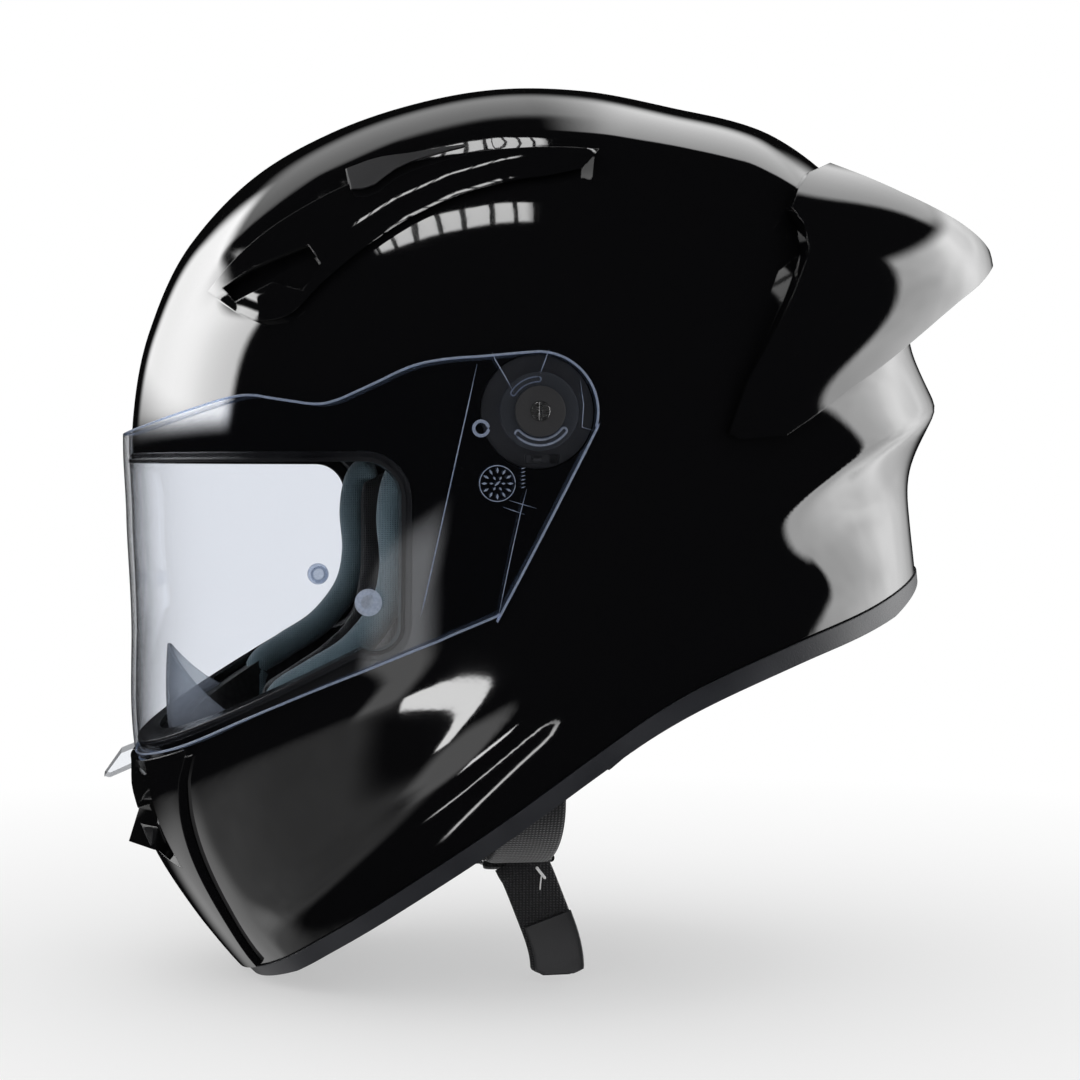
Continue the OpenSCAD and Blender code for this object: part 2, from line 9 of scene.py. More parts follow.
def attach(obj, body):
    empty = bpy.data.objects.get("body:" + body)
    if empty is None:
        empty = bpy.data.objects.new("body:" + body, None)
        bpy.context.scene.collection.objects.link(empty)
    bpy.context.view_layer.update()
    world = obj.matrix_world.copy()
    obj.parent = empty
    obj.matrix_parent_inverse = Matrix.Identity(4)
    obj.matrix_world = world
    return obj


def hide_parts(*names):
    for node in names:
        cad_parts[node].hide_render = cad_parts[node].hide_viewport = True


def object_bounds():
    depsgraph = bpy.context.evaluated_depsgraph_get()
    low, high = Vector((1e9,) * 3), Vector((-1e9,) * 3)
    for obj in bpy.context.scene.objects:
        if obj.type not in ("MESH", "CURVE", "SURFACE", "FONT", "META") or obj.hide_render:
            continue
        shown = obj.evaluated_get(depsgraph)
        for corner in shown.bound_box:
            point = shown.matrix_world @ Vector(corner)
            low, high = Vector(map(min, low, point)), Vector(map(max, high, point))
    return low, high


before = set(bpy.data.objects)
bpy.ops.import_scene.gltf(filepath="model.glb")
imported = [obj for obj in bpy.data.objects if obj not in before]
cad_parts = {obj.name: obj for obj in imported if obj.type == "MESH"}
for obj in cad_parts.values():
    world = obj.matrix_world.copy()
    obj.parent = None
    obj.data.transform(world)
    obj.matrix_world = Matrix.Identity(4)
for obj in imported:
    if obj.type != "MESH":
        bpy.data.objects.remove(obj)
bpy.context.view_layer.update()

MM = 0.001
HALF_W = 125.0  # half width of the shell
SHELL_T = 3.6
BULGE = 2.2  # power of the oval cross-section
RADII = [  # of the side view about the hinge axis, every 15 degrees from the rear
    165, 167, 161, 149, 133, 125, 120.5, 118.3, 119.5, 123.2, 126.5, 130.5,
    132.8, 136.8, 151, 182, 213, 234, 236, 224, 207, 196, 187, 167,
]
VISOR_GAP = 1.2
VISOR_T = 2.2
VISOR_OUT = VISOR_GAP + VISOR_T
REACH = 170.0  # past the widest point on either side
NUDGE = 0.5  # degrees between the points that give a normal
TINY = 1e-12
WHITE = (1, 1, 1, 1)

# ---- the shell's surface ---------------------------------------------------


def spline(p0, p1, p2, p3, f):
    """Catmull-Rom value at share f of the way from p1 to p2."""
    return 0.5 * (
        2 * p1
        + (p2 - p0) * f
        + (2 * p0 - 5 * p1 + 4 * p2 - p3) * f * f
        + (3 * p1 - p0 - 3 * p2 + p3) * f * f * f
    )


def shell_r(a):
    """Radius about the hinge axis at side-view angle a, in degrees."""
    k = (np.asarray(a, float) % 360) / 15.0
    i = np.floor(k).astype(int)
    v = np.array(RADII, float)
    return spline(*(v[(i + q) % 24] for q in (-1, 0, 1, 2)), k - i)


def skin(a, t, off=0.0, lift=0.0):
    """Points at side-view angle a and cross angle t, off mm outside the shell."""
    a = np.asarray(a, float)
    s = np.sin(np.radians(t))
    c = np.clip(1 - np.abs(s) ** BULGE, 0, None) ** (1 / BULGE)
    r = shell_r(a) + off + lift
    ar = np.radians(a)
    return np.stack(
        np.broadcast_arrays((HALF_W + off) * s, r * c * np.cos(ar), r * c * np.sin(ar)), -1
    )


def smooth(x, lo, hi):
    """0 at lo, 1 at hi, eased; hi may be the smaller."""
    u = np.clip((np.asarray(x, float) - lo) / (hi - lo), 0, 1)
    return u * u * (3 - 2 * u)


def curve(pts, steps):
    """Catmull-Rom curve through the points."""
    p = np.array(pts, float)
    q = np.vstack([p[:1], p, p[-1:]])
    out = [spline(*q[i:i + 4], k / steps) for i in range(len(p) - 1) for k in range(steps)]
    return np.array(out + [p[-1]])


def side_distance(y, z, line):
    """Signed distance to a side-view polyline (positive on its left), and the share of the way
    along it."""
    y, z = np.asarray(y, float), np.asarray(z, float)
    best = np.full(y.shape, 1e9)
    sign = np.ones(y.shape)
    along = np.zeros(y.shape)
    n = len(line) - 1
    for i in range(n):
        a, b = np.array(line[i], float), np.array(line[i + 1], float)
        d = b - a
        ll = d @ d
        u = np.clip(((y - a[0]) * d[0] + (z - a[1]) * d[1]) / ll, 0, 1)
        ey, ez = y - a[0] - u * d[0], z - a[1] - u * d[1]
        dist = np.hypot(ey, ez)
        side = np.sign(d[0] * ez - d[1] * ey)
        m = dist < best
        best = np.where(m, dist, best)
        sign = np.where(m, side, sign)
        along = np.where(m, (i + u) / n, along)
    return best * sign, along


# ---- side-view lines, [y, z] in mm -----------------------------------------

RIM = [
    [-150, -249], [-115, -220.5], [-91, -201], [-43, -164], [-10, -140], [23, -115.5],
    [44, -101], [66, -90], [97, -78], [125, -68.5], [158, -56], [200, -41],
]
VISOR_TOP = [
    [-165, -14], [-137, -6], [-117, 0.5], [-97, 6], [-84, 4.5], [-70, 3], [-56, 8.5],
    [-42, 15], [-30, 17.5], [-16, 18.5],
]
VISOR_LOW = [
    [-165, -139], [-137, -125.5], [-117, -116], [-97, -105], [-84, -98.5], [-70, -92], [-56, -86],
    [-42, -80], [-30, -75], [-16, -68],
]
JAW = [[-92, -181], [-79, -171], [-60, -154], [-34, -131], [-11, -110], [9, -92], [30, -74]]
REAR = [
    [190, 13], [172, 8], [162, 5], [145, -3], [130, -9], [111, -18], [90, -30], [57, -45], [35, -55],
]
BAND = [
    [-112, 36], [-106, 43], [-97, 54], [-88, 62], [-66, 78], [-40, 89], [-10, 94],
    [30, 92], [55, 89], [80, 84], [100, 77], [125, 66],
]


def relief(p):
    """Height of the moulded features above the plain shell, for points of it."""
    x, y, z = np.abs(p[..., 0]), p[..., 1], p[..., 2]
    a = np.degrees(np.arctan2(z, y)) % 360
    h = np.zeros(x.shape)
    # raised band over the crown, with a shallow channel beside it
    d = side_distance(y, z, BAND)[0]
    fade = smooth(a, 166, 150) * smooth(a, 28, 48)
    h += fade * (2.2 * smooth(d, -3.5, 3.5) - 1.4 * np.exp(-(((d + 8) / 7) ** 2)))
    # the shell stands up to meet the lower edge of the visor
    d = side_distance(y, z, VISOR_LOW)[0]
    h += 1.9 * smooth(d, -1.0, -13) * smooth(d, -62, -20) * smooth(y, -22, -62)
    # lower jaw: a crease, and the surface falls away below it
    d, u = side_distance(y, z, JAW)
    ends = smooth(u, 0.02, 0.2) * smooth(u, 1.0, 0.72)
    h += ends * (2.4 * np.exp(-((d / 7.5) ** 2)) - 2.2 * smooth(d, -3, -20))
    # rear: a ridge with a scooped panel above and below it
    d, u = side_distance(y, z, REAR)
    ends = smooth(u, 1.0, 0.45)
    h += ends * (
        5.4 * np.exp((3.0 - np.hypot(d, 3.0)) / 8.0)
        - 3.6 * np.exp(-(((d - 22) / 15) ** 2))
        - 4.2 * np.exp(-(((d + 24) / 15) ** 2))
    )
    return h


# ---- mesh helpers -----------------------------------------------------------


def add(name, data):
    """Puts a new object into the scene."""
    ob = bpy.data.objects.new(name, data)
    bpy.context.scene.collection.objects.link(ob)
    return ob


def new_object(name, verts, faces):
    me = bpy.data.meshes.new(name)
    me.from_pydata([tuple(v) for v in np.asarray(verts)], [], [tuple(int(i) for i in f) for f in faces])
    me.update()
    return add(name, me)


def raised(a, t, off, lift, height):
    """Points off mm outside the shell, with height(points) mm more along the normal."""

    def at(a_, t_):
        return skin(a_, t_, off, lift(a_, t_) if lift else 0.0)

    v = at(a, t)
    if height is None:
        return v
    n = np.cross(at(a + NUDGE, t) - v, at(a, t + NUDGE) - v)
    n /= np.linalg.norm(n, axis=-1, keepdims=True) + TINY
    n *= np.sign((n * v).sum(-1, keepdims=True))
    return v + n * height(v)[..., None]


def body(name, off, step=1.5, lift=None, shaped=False):
    """Closed surface off mm outside the shell; shaped adds the moulded features."""
    na, nt = int(round(360 / step)), int(round(180 / step)) - 1
    aa, tt = np.meshgrid(np.arange(na) * step, (np.arange(nt) + 1) * step - 90)
    v = raised(aa, tt, off, lift, relief if shaped else None)
    ends = [[-(HALF_W + off), 0, 0], [HALF_W + off, 0, 0]]
    i = np.arange(na)
    j = (i + 1) % na
    base = len(ends)
    top = base + (nt - 1) * na
    faces = [(0, base + a1, base + a0) for a0, a1 in zip(i, j)]
    faces += [(1, top + a0, top + a1) for a0, a1 in zip(i, j)]
    for lo in range(base, top, na):
        hi = lo + na
        faces += [(lo + a0, lo + a1, hi + a1, hi + a0) for a0, a1 in zip(i, j)]
    return new_object(name, np.vstack([ends, v.reshape(-1, 3)]) * MM, faces)


def loft(name, rings):
    """Closed solid through rings of equally many points (mm)."""
    m, n = len(rings), len(rings[0])
    f = [tuple(range(n))[::-1], tuple(range((m - 1) * n, m * n))]
    for i in range(m - 1):
        for j in range(n):
            a, b = i * n + j, i * n + (j + 1) % n
            f.append((a, b, b + n, a + n))
    ob = new_object(name, np.vstack(rings) * MM, f)
    outward(ob)
    return ob


def prism(name, outline, x0=-REACH, x1=REACH):
    """Closed prism across the helmet from a side-view outline, [y, z]."""
    o = np.array(outline, float)
    return loft(name, [np.column_stack([np.full(len(o), x), o]) for x in (x0, x1)])


def prism_front(name, outline, y0, y1):
    """Closed prism along the helmet from a front-view outline, [x, z]."""
    o = np.array(outline, float)
    return loft(name, [np.column_stack([o[:, 0], np.full(len(o), y), o[:, 1]]) for y in (y0, y1)])


def outward(ob):
    bm = bmesh.new()
    bm.from_mesh(ob.data)
    bmesh.ops.recalc_face_normals(bm, faces=bm.faces)
    bm.to_mesh(ob.data)
    bm.free()


def boolean(ob, other, op):
    m = ob.modifiers.new("cut", "BOOLEAN")
    m.object = other
    m.operation = op
    m.solver = "MANIFOLD"
    apply(ob)
    bpy.data.objects.remove(other, do_unlink=True)
    return ob


def apply(ob):
    dg = bpy.context.evaluated_depsgraph_get()
    dg.update()
    me = bpy.data.meshes.new_from_object(ob.evaluated_get(dg))
    old = ob.data
    ob.modifiers.clear()
    ob.data = me
    bpy.data.meshes.remove(old)


def soften(ob, angle=28.0, weighted=True):
    ob.data.shade_smooth()
    ob.data.set_sharp_from_angle(angle=math.radians(angle))
    if weighted:
        m = ob.modifiers.new("normals", "WEIGHTED_NORMAL")
        m.keep_sharp = True
        m.weight = 50
        apply(ob)


def cylinder(name, p0, p1, r, n=48):
    """Closed cylinder between two points, mm."""
    p0, p1 = np.array(p0, float), np.array(p1, float)
    d = p1 - p0
    d /= np.linalg.norm(d)
    u = np.cross(d, [0.3, 0.5, 0.81])
    u /= np.linalg.norm(u)
    w = np.cross(d, u)
    k = np.arange(n) * 2 * math.pi / n
    ring = r * (np.cos(k)[:, None] * u + np.sin(k)[:, None] * w)
    return loft(name, [p0 + ring, p1 + ring])


def closed(top, low):
    """One outline from an upper and a lower side-view line."""
    return np.vstack([np.asarray(top), np.asarray(low)[::-1]])


def arc(c, r, a0, a1, n):
    k = np.radians(np.linspace(a0, a1, n))
    return np.column_stack([c[0] + r * np.cos(k), c[1] + r * np.sin(k)])


def port_outline(g, n=18):
    """The eye port seen from the side, grown by g."""
    top = np.vstack([[[-168, -16.5 + g]], arc((-57, -28.5), 12 + g, 90, 0, n)])
    low = np.vstack([[[-168, -138 - g * 1.1]], arc((-53.5, -71), 8.5 + g, 244, 360, n)])
    return closed(top, low)


def rim_outline(drop, low=-330):
    line = curve(RIM, 8) + [0, -drop]
    return closed(line, np.column_stack([line[:, 0], np.full(len(line), low)]))


def visor_outline(g=0.0):
    top = curve(VISOR_TOP, 6) + [0, g]
    low = curve(VISOR_LOW, 6) + [0, -g]
    end = arc((0, 0), 20 + g, 100, -28, 24)
    corner = arc((-17.5, -61.5), 7.5 + g, -28, -66, 8)
    return np.vstack([top[:-2], end, corner, low[:-4][::-1]])


# ---- materials ---------------------------------------------------------------


class Mat:
    """A node material built step by step."""

    def __init__(self, name):
        self.m = bpy.data.materials.new(name)
        self.m.use_nodes = True
        self.t = self.m.node_tree
        self.t.nodes.clear()
        self.out = self.t.nodes.new("ShaderNodeOutputMaterial")

    def node(self, kind, **kw):
        n = self.t.nodes.new(kind)
        for k, v in kw.items():
            if hasattr(n, k) and k not in n.inputs:
                setattr(n, k, v)
            else:
                self.put(n.inputs[k], v)
        return n

    def put(self, sock, v):
        if isinstance(v, bpy.types.NodeSocket):
            self.t.links.new(v, sock)
        elif isinstance(v, bpy.types.Node):
            self.t.links.new(v.outputs[0], sock)
        else:
            sock.default_value = v

    def coords(self, scale=(1, 1, 1)):
        tc = self.node("ShaderNodeTexCoord")
        return self.node("ShaderNodeMapping", Vector=tc.outputs["Object"], Scale=scale).outputs["Vector"]

    def noise(self, vec, scale, detail=3.0, rough=0.5):
        n = self.node("ShaderNodeTexNoise", Vector=vec, Scale=scale, Detail=detail, Roughness=rough)
        return n.outputs["Fac"]

    def ramp(self, fac, stops):
        n = self.node("ShaderNodeValToRGB")
        self.put(n.inputs["Fac"], fac)
        el = n.color_ramp.elements
        while len(el) < len(stops):
            el.new(0.5)
        for e, (p, c) in zip(el, stops):
            e.position = p
            e.color = (*c, 1) if len(c) == 3 else c
        return n.outputs["Color"]

    def wave(self, vec, axis, scale, distortion=0.0, detail_scale=1.0):
        n = self.node("ShaderNodeTexWave", bands_direction=axis, Vector=vec, Scale=scale)
        n.inputs["Distortion"].default_value = distortion
        n.inputs["Detail Scale"].default_value = detail_scale
        return n.outputs["Fac"]

    def mix(self, fac, a, b):
        n = self.node("ShaderNodeMixShader")
        for sock, v in zip(n.inputs, (fac, a, b)):
            self.put(sock, v)
        return n

    def math(self, op, a, b=0.5):
        n = self.node("ShaderNodeMath", operation=op)
        self.put(n.inputs[0], a)
        self.put(n.inputs[1], b)
        return n.outputs[0]

    def range(self, v, a0, a1, b0, b1):
        n = self.node("ShaderNodeMapRange")
        self.put(n.inputs[0], v)
        for i, x in enumerate((a0, a1, b0, b1)):
            n.inputs[i + 1].default_value = x
        return n.outputs[0]

    def bump(self, height, strength, distance, normal=None):
        n = self.node("ShaderNodeBump", Height=height, Strength=strength, Distance=distance)
        if normal is not None:
            self.put(n.inputs["Normal"], normal)
        return n.outputs["Normal"]

    def bevel(self, radius):
        return self.node("ShaderNodeBevel", samples=4, Radius=radius).outputs["Normal"]

    def principled(self, **kw):
        n = self.node("ShaderNodeBsdfPrincipled")
        for k, v in kw.items():
            self.put(n.inputs[k.replace("_", " ")], v)
        self.surface(n)

    def surface(self, node):
        self.t.links.new(node.outputs[0], self.out.inputs["Surface"])


def gloss_black():
    k = Mat("gloss_black")
    v = k.coords()
    dust = k.noise(v, 420, 4, 0.6)
    swirl = k.noise(v, 9, 3)
    rough = k.range(swirl, 0.3, 0.8, 0.035, 0.075)
    peel = k.noise(v, 240, 2)
    stops = [(0.0, (0.0022, 0.0022, 0.0026)), (0.72, (0.003, 0.003, 0.0034)), (1.0, (0.012, 0.012, 0.013))]
    k.principled(
        Base_Color=k.ramp(dust, stops),
        Roughness=rough,
        Coat_Weight=1.0,
        Coat_Roughness=0.015,
        Coat_IOR=1.5,
        Specular_IOR_Level=0.5,
        Normal=k.bump(peel, 0.035, 0.0004, k.bevel(0.0007)),
    )
    return k.m


def satin(name, colour, rough, grain=1600, depth=0.25):
    k = Mat(name)
    v = k.coords()
    n = k.noise(v, grain, 2)
    w = k.noise(v, 30, 4)
    lo = tuple(c * 0.8 for c in colour)
    hi = tuple(min(c * 1.3 + 0.004, 1) for c in colour)
    k.principled(
        Base_Color=k.ramp(w, [(0.3, lo), (0.75, hi)]),
        Roughness=k.range(w, 0.3, 0.7, rough - 0.05, rough + 0.07),
        Normal=k.bump(n, depth, 0.00015, k.bevel(0.0006)),
    )
    return k.m


def foam():
    k = Mat("foam_beads")
    v = k.coords()
    beads = k.node("ShaderNodeTexVoronoi", Vector=v, Scale=320).outputs["Distance"]
    n = k.noise(v, 60, 3)
    k.principled(
        Base_Color=k.ramp(beads, [(0.0, (0.03, 0.03, 0.032)), (0.9, (0.012, 0.012, 0.013))]),
        Roughness=k.range(n, 0.3, 0.7, 0.65, 0.85),
        Normal=k.bump(beads, 0.6, 0.0006),
    )
    return k.m


def knit(name, colour, colour2, scale=900.0):
    """Brushed knit: rows of small loops with lint and colour variation."""
    k = Mat(name)
    v = k.coords()
    rows, columns = k.wave(v, "Z", scale / 2.0, 1.5, 3.0), k.wave(v, "Y", scale / 2.4, 1.5)
    weave = k.math("MULTIPLY", rows, columns)
    lint = k.noise(v, 700, 5, 0.7)
    blot = k.noise(v, 45, 4)
    height = k.math("ADD", weave, k.math("MULTIPLY", lint, 0.6))
    shade = k.math("ADD", k.math("MULTIPLY", blot, 0.6), k.math("MULTIPLY", lint, 0.4))
    k.principled(
        Base_Color=k.ramp(shade, [(0.3, colour), (0.75, colour2)]),
        Roughness=0.9,
        Sheen_Weight=0.35,
        Sheen_Roughness=0.4,
        Normal=k.bump(height, 0.55, 0.0006),
    )
    return k.m


def webbing():
    k = Mat("webbing_weave")
    v = k.coords()
    weave = k.math("MULTIPLY", k.wave(v, "Y", 260), k.wave(v, "Z", 330, 0.6))
    lint = k.noise(v, 900, 4, 0.7)
    k.principled(
        Base_Color=k.ramp(weave, [(0.1, (0.004, 0.004, 0.005)), (0.9, (0.022, 0.022, 0.026))]),
        Roughness=k.range(lint, 0.3, 0.8, 0.5, 0.8),
        Sheen_Weight=0.25,
        Normal=k.bump(k.math("ADD", weave, k.math("MULTIPLY", lint, 0.25)), 0.7, 0.0005),
    )
    return k.m


def metal(name, colour, rough):
    k = Mat(name)
    v = k.coords((1, 1, 14))
    n = k.noise(v, 500, 3)
    w = k.noise(k.coords(), 90, 4)
    k.principled(
        Base_Color=k.ramp(w, [(0.3, tuple(c * 0.8 for c in colour)), (0.7, colour)]),
        Metallic=1.0,
        Roughness=k.range(n, 0.3, 0.7, rough - 0.06, rough + 0.1),
        Normal=k.bump(n, 0.08, 0.0001, k.bevel(0.0003)),
    )
    return k.m


def clear(name, tint, rough=0.012, haze_highlight_amount=0.0, ior=1.5):
    """Thin clear polycarbonate: it lets light straight through and mirrors at grazing angles."""
    k = Mat(name)
    v = k.coords()
    n = k.noise(v, 14, 3)
    s = k.noise(v, 900, 3)
    facing = k.node("ShaderNodeLayerWeight", Blend=0.5).outputs["Facing"]
    base = ((ior - 1) / (ior + 1)) ** 2
    fresnel = k.range(k.math("POWER", facing, 5.0), 0, 1, base, 1)
    tint2 = tuple(min(c * 1.01, 1) for c in tint)
    through = k.node("ShaderNodeBsdfTransparent", Color=k.ramp(n, [(0.2, tint), (0.8, tint2)]))
    uneven_rough = k.range(s, 0.3, 0.8, rough, rough * 1.8)
    last = k.mix(fresnel, through, k.node("ShaderNodeBsdfGlossy", Color=WHITE, Roughness=uneven_rough))
    # Pale diffuse and translucent layer mixed in: haze in the smoke-grey guard and the clear hubs and pins,
    # and a painted highlight in the visor's edge material.
    if haze_highlight_amount > 0:
        near = k.node("ShaderNodeBsdfDiffuse", Color=(0.75, 0.8, 0.9, 1))
        far = k.node("ShaderNodeBsdfTranslucent", Color=(0.75, 0.82, 0.95, 1))
        haze_and_painted_highlight = k.mix(0.5, near, far)
        last = k.mix(k.range(s, 0.2, 0.8, haze_highlight_amount * 0.7, haze_highlight_amount * 1.2), last, haze_and_painted_highlight)
    k.surface(last)
    return k.m


M = {
    "gloss": gloss_black(),
    "satin": satin("satin_black", (0.018, 0.018, 0.02), 0.38),
    "matte": satin("matte_black", (0.02, 0.02, 0.022), 0.5, 1100, 0.5),
    "trim": satin("trim_rubber", (0.016, 0.017, 0.021), 0.36, 1500, 0.35),
    "gasket": satin("gasket_rubber", (0.006, 0.006, 0.007), 0.22, 900, 0.15),
    "foam": foam(),
    "teal": knit("pad_brushed", (0.08, 0.125, 0.145), (0.17, 0.24, 0.265)),
    "black_knit": knit("pad_black", (0.012, 0.012, 0.013), (0.035, 0.035, 0.037)),
    "mesh": knit("pad_mesh", (0.07, 0.07, 0.075), (0.2, 0.2, 0.21), 700),
    "web": webbing(),
    "steel": metal("steel", (0.62, 0.62, 0.63), 0.24),
    "clear": clear("visor_clear", (0.955, 0.965, 0.985)),
    # blue tinted edge material whose pale haze is a painted highlight on the visor's edges, rim tube and
    # arm marks
    "edge": clear("visor_edge_highlight", (0.55, 0.68, 0.9), 0.05, 0.35),
    "hub": clear("hub_clear", (0.6, 0.62, 0.66), 0.05, 0.04),
    "pin": clear("pin_clear", (0.8, 0.84, 0.9), 0.05, 0.35),
    "guard": clear("guard_smoke", (0.84, 0.86, 0.87), 0.12, 0.22, 1.45),
    "white": satin("white_thread", (0.8, 0.8, 0.8), 0.7),
}


def give(ob, *names):
    ob.data.materials.clear()
    for n in names:
        ob.data.materials.append(M[n])


def done(ob, body_name, slot, mats, *nodes):
    give(ob, *([mats] if isinstance(mats, str) else mats))
    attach(ob, body_name)
    if nodes:
        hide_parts(*nodes)
    return ob


# ---- more shape helpers -------------------------------------------------------


def capsule(c0, c1, r, n=12):
    """Outline of a slot between two centres."""
    c0, c1 = np.array(c0, float), np.array(c1, float)
    d = math.degrees(math.atan2(*(c1 - c0)[::-1]))
    return np.vstack([arc(c1, r, d - 90, d + 90, n), arc(c0, r, d + 90, d + 270, n)])


def rounded(x, z0, z1, r):
    """Front-view rectangle with round corners; x, z0 and z1 are those of the corners' centres."""
    turns = ((x, z1, 0), (-x, z1, 90), (-x, z0, 180), (x, z0, 270))
    return np.vstack([arc((cx, cz), r, a, a + 90, 6) for cx, cz, a in turns])


def plate(name, a_span, t_span, step, out, inner, lift=None, detail=None):
    """Closed plate over part of the surface, from inner mm to out mm outside the shell.
    lift(a, t) adds radius and detail(p) adds height to the outer face."""
    na = int(round((a_span[1] - a_span[0]) / step)) + 1
    nt = int(round((t_span[1] - t_span[0]) / step)) + 1
    aa, tt = np.meshgrid(np.linspace(*a_span, na), np.linspace(*t_span, nt), indexing="ij")

    def height(v):
        return relief(v) + detail(v)

    top = raised(aa, tt, out, lift, height if detail else relief)
    low = raised(aa, tt, inner, None, relief)
    n = na * nt
    idx = np.arange(n).reshape(na, nt)
    f = []
    for i in range(na - 1):
        for j in range(nt - 1):
            a, b, c, d = idx[i, j], idx[i + 1, j], idx[i + 1, j + 1], idx[i, j + 1]
            f.append((a, b, c, d))
            f.append((a + n, d + n, c + n, b + n))
    sides = [(idx[i, j], idx[i + 1, j]) for i in range(na - 1) for j in (0, nt - 1)]
    sides += [(idx[i, j], idx[i, j + 1]) for j in range(nt - 1) for i in (0, na - 1)]
    f += [(a, b, b + n, a + n) for a, b in sides]
    ob = new_object(name, np.vstack([top.reshape(-1, 3), low.reshape(-1, 3)]) * MM, f)
    outward(ob)
    return ob


def cut(ob, outline, x0=-REACH, x1=REACH):
    return boolean(ob, prism("cutter", outline, x0, x1), "DIFFERENCE")


def keep(ob, outline, x0=-REACH, x1=REACH):
    return boolean(ob, prism("cutter", outline, x0, x1), "INTERSECT")


def cut_round(ob, p0, p1, r, n=64):
    return boolean(ob, cylinder("cutter", p0, p1, r, n), "DIFFERENCE")


def cut_front(ob, outline, y0, y1):
    return boolean(ob, prism_front("cutter", outline, y0, y1), "DIFFERENCE")


def keep_front(ob, outline, y0, y1):
    return boolean(ob, prism_front("cutter", outline, y0, y1), "INTERSECT")


def cut_body(ob, off, step, **kw):
    """Removes what lies deeper than off mm outside the shell."""
    return boolean(ob, body("cutter", off, step, **kw), "DIFFERENCE")


def under_stand():
    """Everything below the plane that the helmet stands on."""
    a = math.radians(30.4)
    c, s = math.cos(a), math.sin(a)
    o = np.array([-86, -203.6])
    along, down = np.array([c, s]), np.array([s, -c])
    pts = [o - along * 200, o + along * 500, o + along * 500 + down * 90, o - along * 200 + down * 90]
    return prism("cutter", pts)


def surface_normal(p):
    """Outward direction of the plain surface through points (mm)."""

    def level(q):
        rho = np.hypot(q[:, 1], q[:, 2])
        r = shell_r(np.degrees(np.arctan2(q[:, 2], q[:, 1])))
        return (np.abs(q[:, 0]) / HALF_W) ** BULGE + (rho / r) ** BULGE

    g = np.stack([level(p + e) - level(p - e) for e in np.eye(3) * 0.5], 1)
    return g / (np.linalg.norm(g, axis=1, keepdims=True) + 1e-12)


def rim_faces(ob, index=1, limit=0.6):
    """Gives the faces that stand across the sheet their own material."""
    me = ob.data
    c = np.array([f.center[:] for f in me.polygons]) / MM
    n = np.array([f.normal[:] for f in me.polygons])
    across = np.abs((surface_normal(c) * n).sum(1)) < limit
    me.polygons.foreach_set("material_index", (across * index).astype(np.int32))
    me.update()


def ribbon(name, path, across, width, thick, taper=None):
    """Woven strap along a path (mm); across holds its width direction at every point."""
    p, w = np.array(path, float), np.array(across, float)
    n = len(p)
    d = np.gradient(p, axis=0)
    d /= np.linalg.norm(d, axis=1, keepdims=True)
    w = w - (w * d).sum(1, keepdims=True) * d
    w /= np.linalg.norm(w, axis=1, keepdims=True)
    up = np.cross(d, w)
    k = np.radians(np.arange(0, 360, 15))
    cx = np.sign(np.cos(k)) * np.abs(np.cos(k)) ** 0.25 * width / 2
    cy = np.sign(np.sin(k)) * np.abs(np.sin(k)) ** 0.7 * thick / 2
    scale = np.ones(n) if taper is None else np.array([taper(i / (n - 1)) for i in range(n)])
    ob = loft(name, [p[i] + np.outer(cx, w[i]) * scale[i] + np.outer(cy, up[i]) for i in range(n)])
    soften(ob, 50, False)
    return ob


def tube(name, path, r, n, squeeze=(1.0, 1.0)):
    """Closed round or oval tube along a path (mm) that never runs straight across the helmet."""
    p = np.array(path, float)
    up = np.array([1.0, 0, 0])
    d = np.gradient(p, axis=0)
    d /= np.linalg.norm(d, axis=1, keepdims=True)
    w = up - (d @ up)[:, None] * d
    w /= np.linalg.norm(w, axis=1, keepdims=True)
    b = np.cross(d, w)
    m = len(p)
    k = np.arange(n) * 2 * math.pi / n
    u = np.linspace(0, 1, m)
    end = np.clip(1 - np.minimum(u, 1 - u) / 0.04, 0, 1)
    cap = np.sqrt(np.clip(1 - end**2, 0.04, 1))
    c, s = np.cos(k), np.sin(k)
    ob = loft(name, [
        p[i] + r * cap[i] * (np.outer(c, w[i]) * squeeze[0] + np.outer(s, b[i]) * squeeze[1])
        for i in range(m)
    ])
    ob.data.shade_smooth()
    return ob


def join(name, obs):
    bm = bmesh.new()
    for ob in obs:
        bm.from_mesh(ob.data)
        bpy.data.objects.remove(ob, do_unlink=True)
    me = bpy.data.meshes.new(name)
    bm.to_mesh(me)
    bm.free()
    return add(name, me)


def mirror(ob, name):
    """A copy on the other side of the middle plane."""
    me = ob.data.copy()
    me.transform(Matrix.Scale(-1, 4, (1, 0, 0)))
    me.flip_normals()
    return add(name, me)


CHIN_SLOT = capsule((-14, -150), (14, -150), 4)

# ---- shell -----------------------------------------------------------------------

shell = body("shell", 0, 0.9, shaped=True)
cut_body(shell, -SHELL_T, 3, shaped=True)
for s in (-1, 1):
    # boss of the visor hinge with the pocket of the hub
    boolean(shell, cylinder("joiner", (s * 117.4, 0, 0), (s * 120.58, 0, 0), 24, 96), "UNION")
    cut_round(shell, (s * 120.55, 0, 0), (s * 140, 0, 0), 19.35, 128)
cut(shell, port_outline(3.52))
cut(shell, rim_outline(0))
for x in (-24, 0, 24):
    cut_front(shell, capsule((x - 7, 48), (x + 7, 48), 3), 130, 190)
cut_front(shell, CHIN_SLOT, -160, -100)
for y, z in ((-64, 60), (-40, 73), (-16, 80)):
    slot = capsule((y - 7, z - 4.2), (y + 7, z + 4.2), 3)
    cut(shell, slot, 70, 130)
    cut(shell, slot, -130, -70)
soften(shell, 30)
done(shell, "helmet", "shell_black", "gloss", "outer_shell")

# ---- trim and gasket ----------------------------------------------------------------

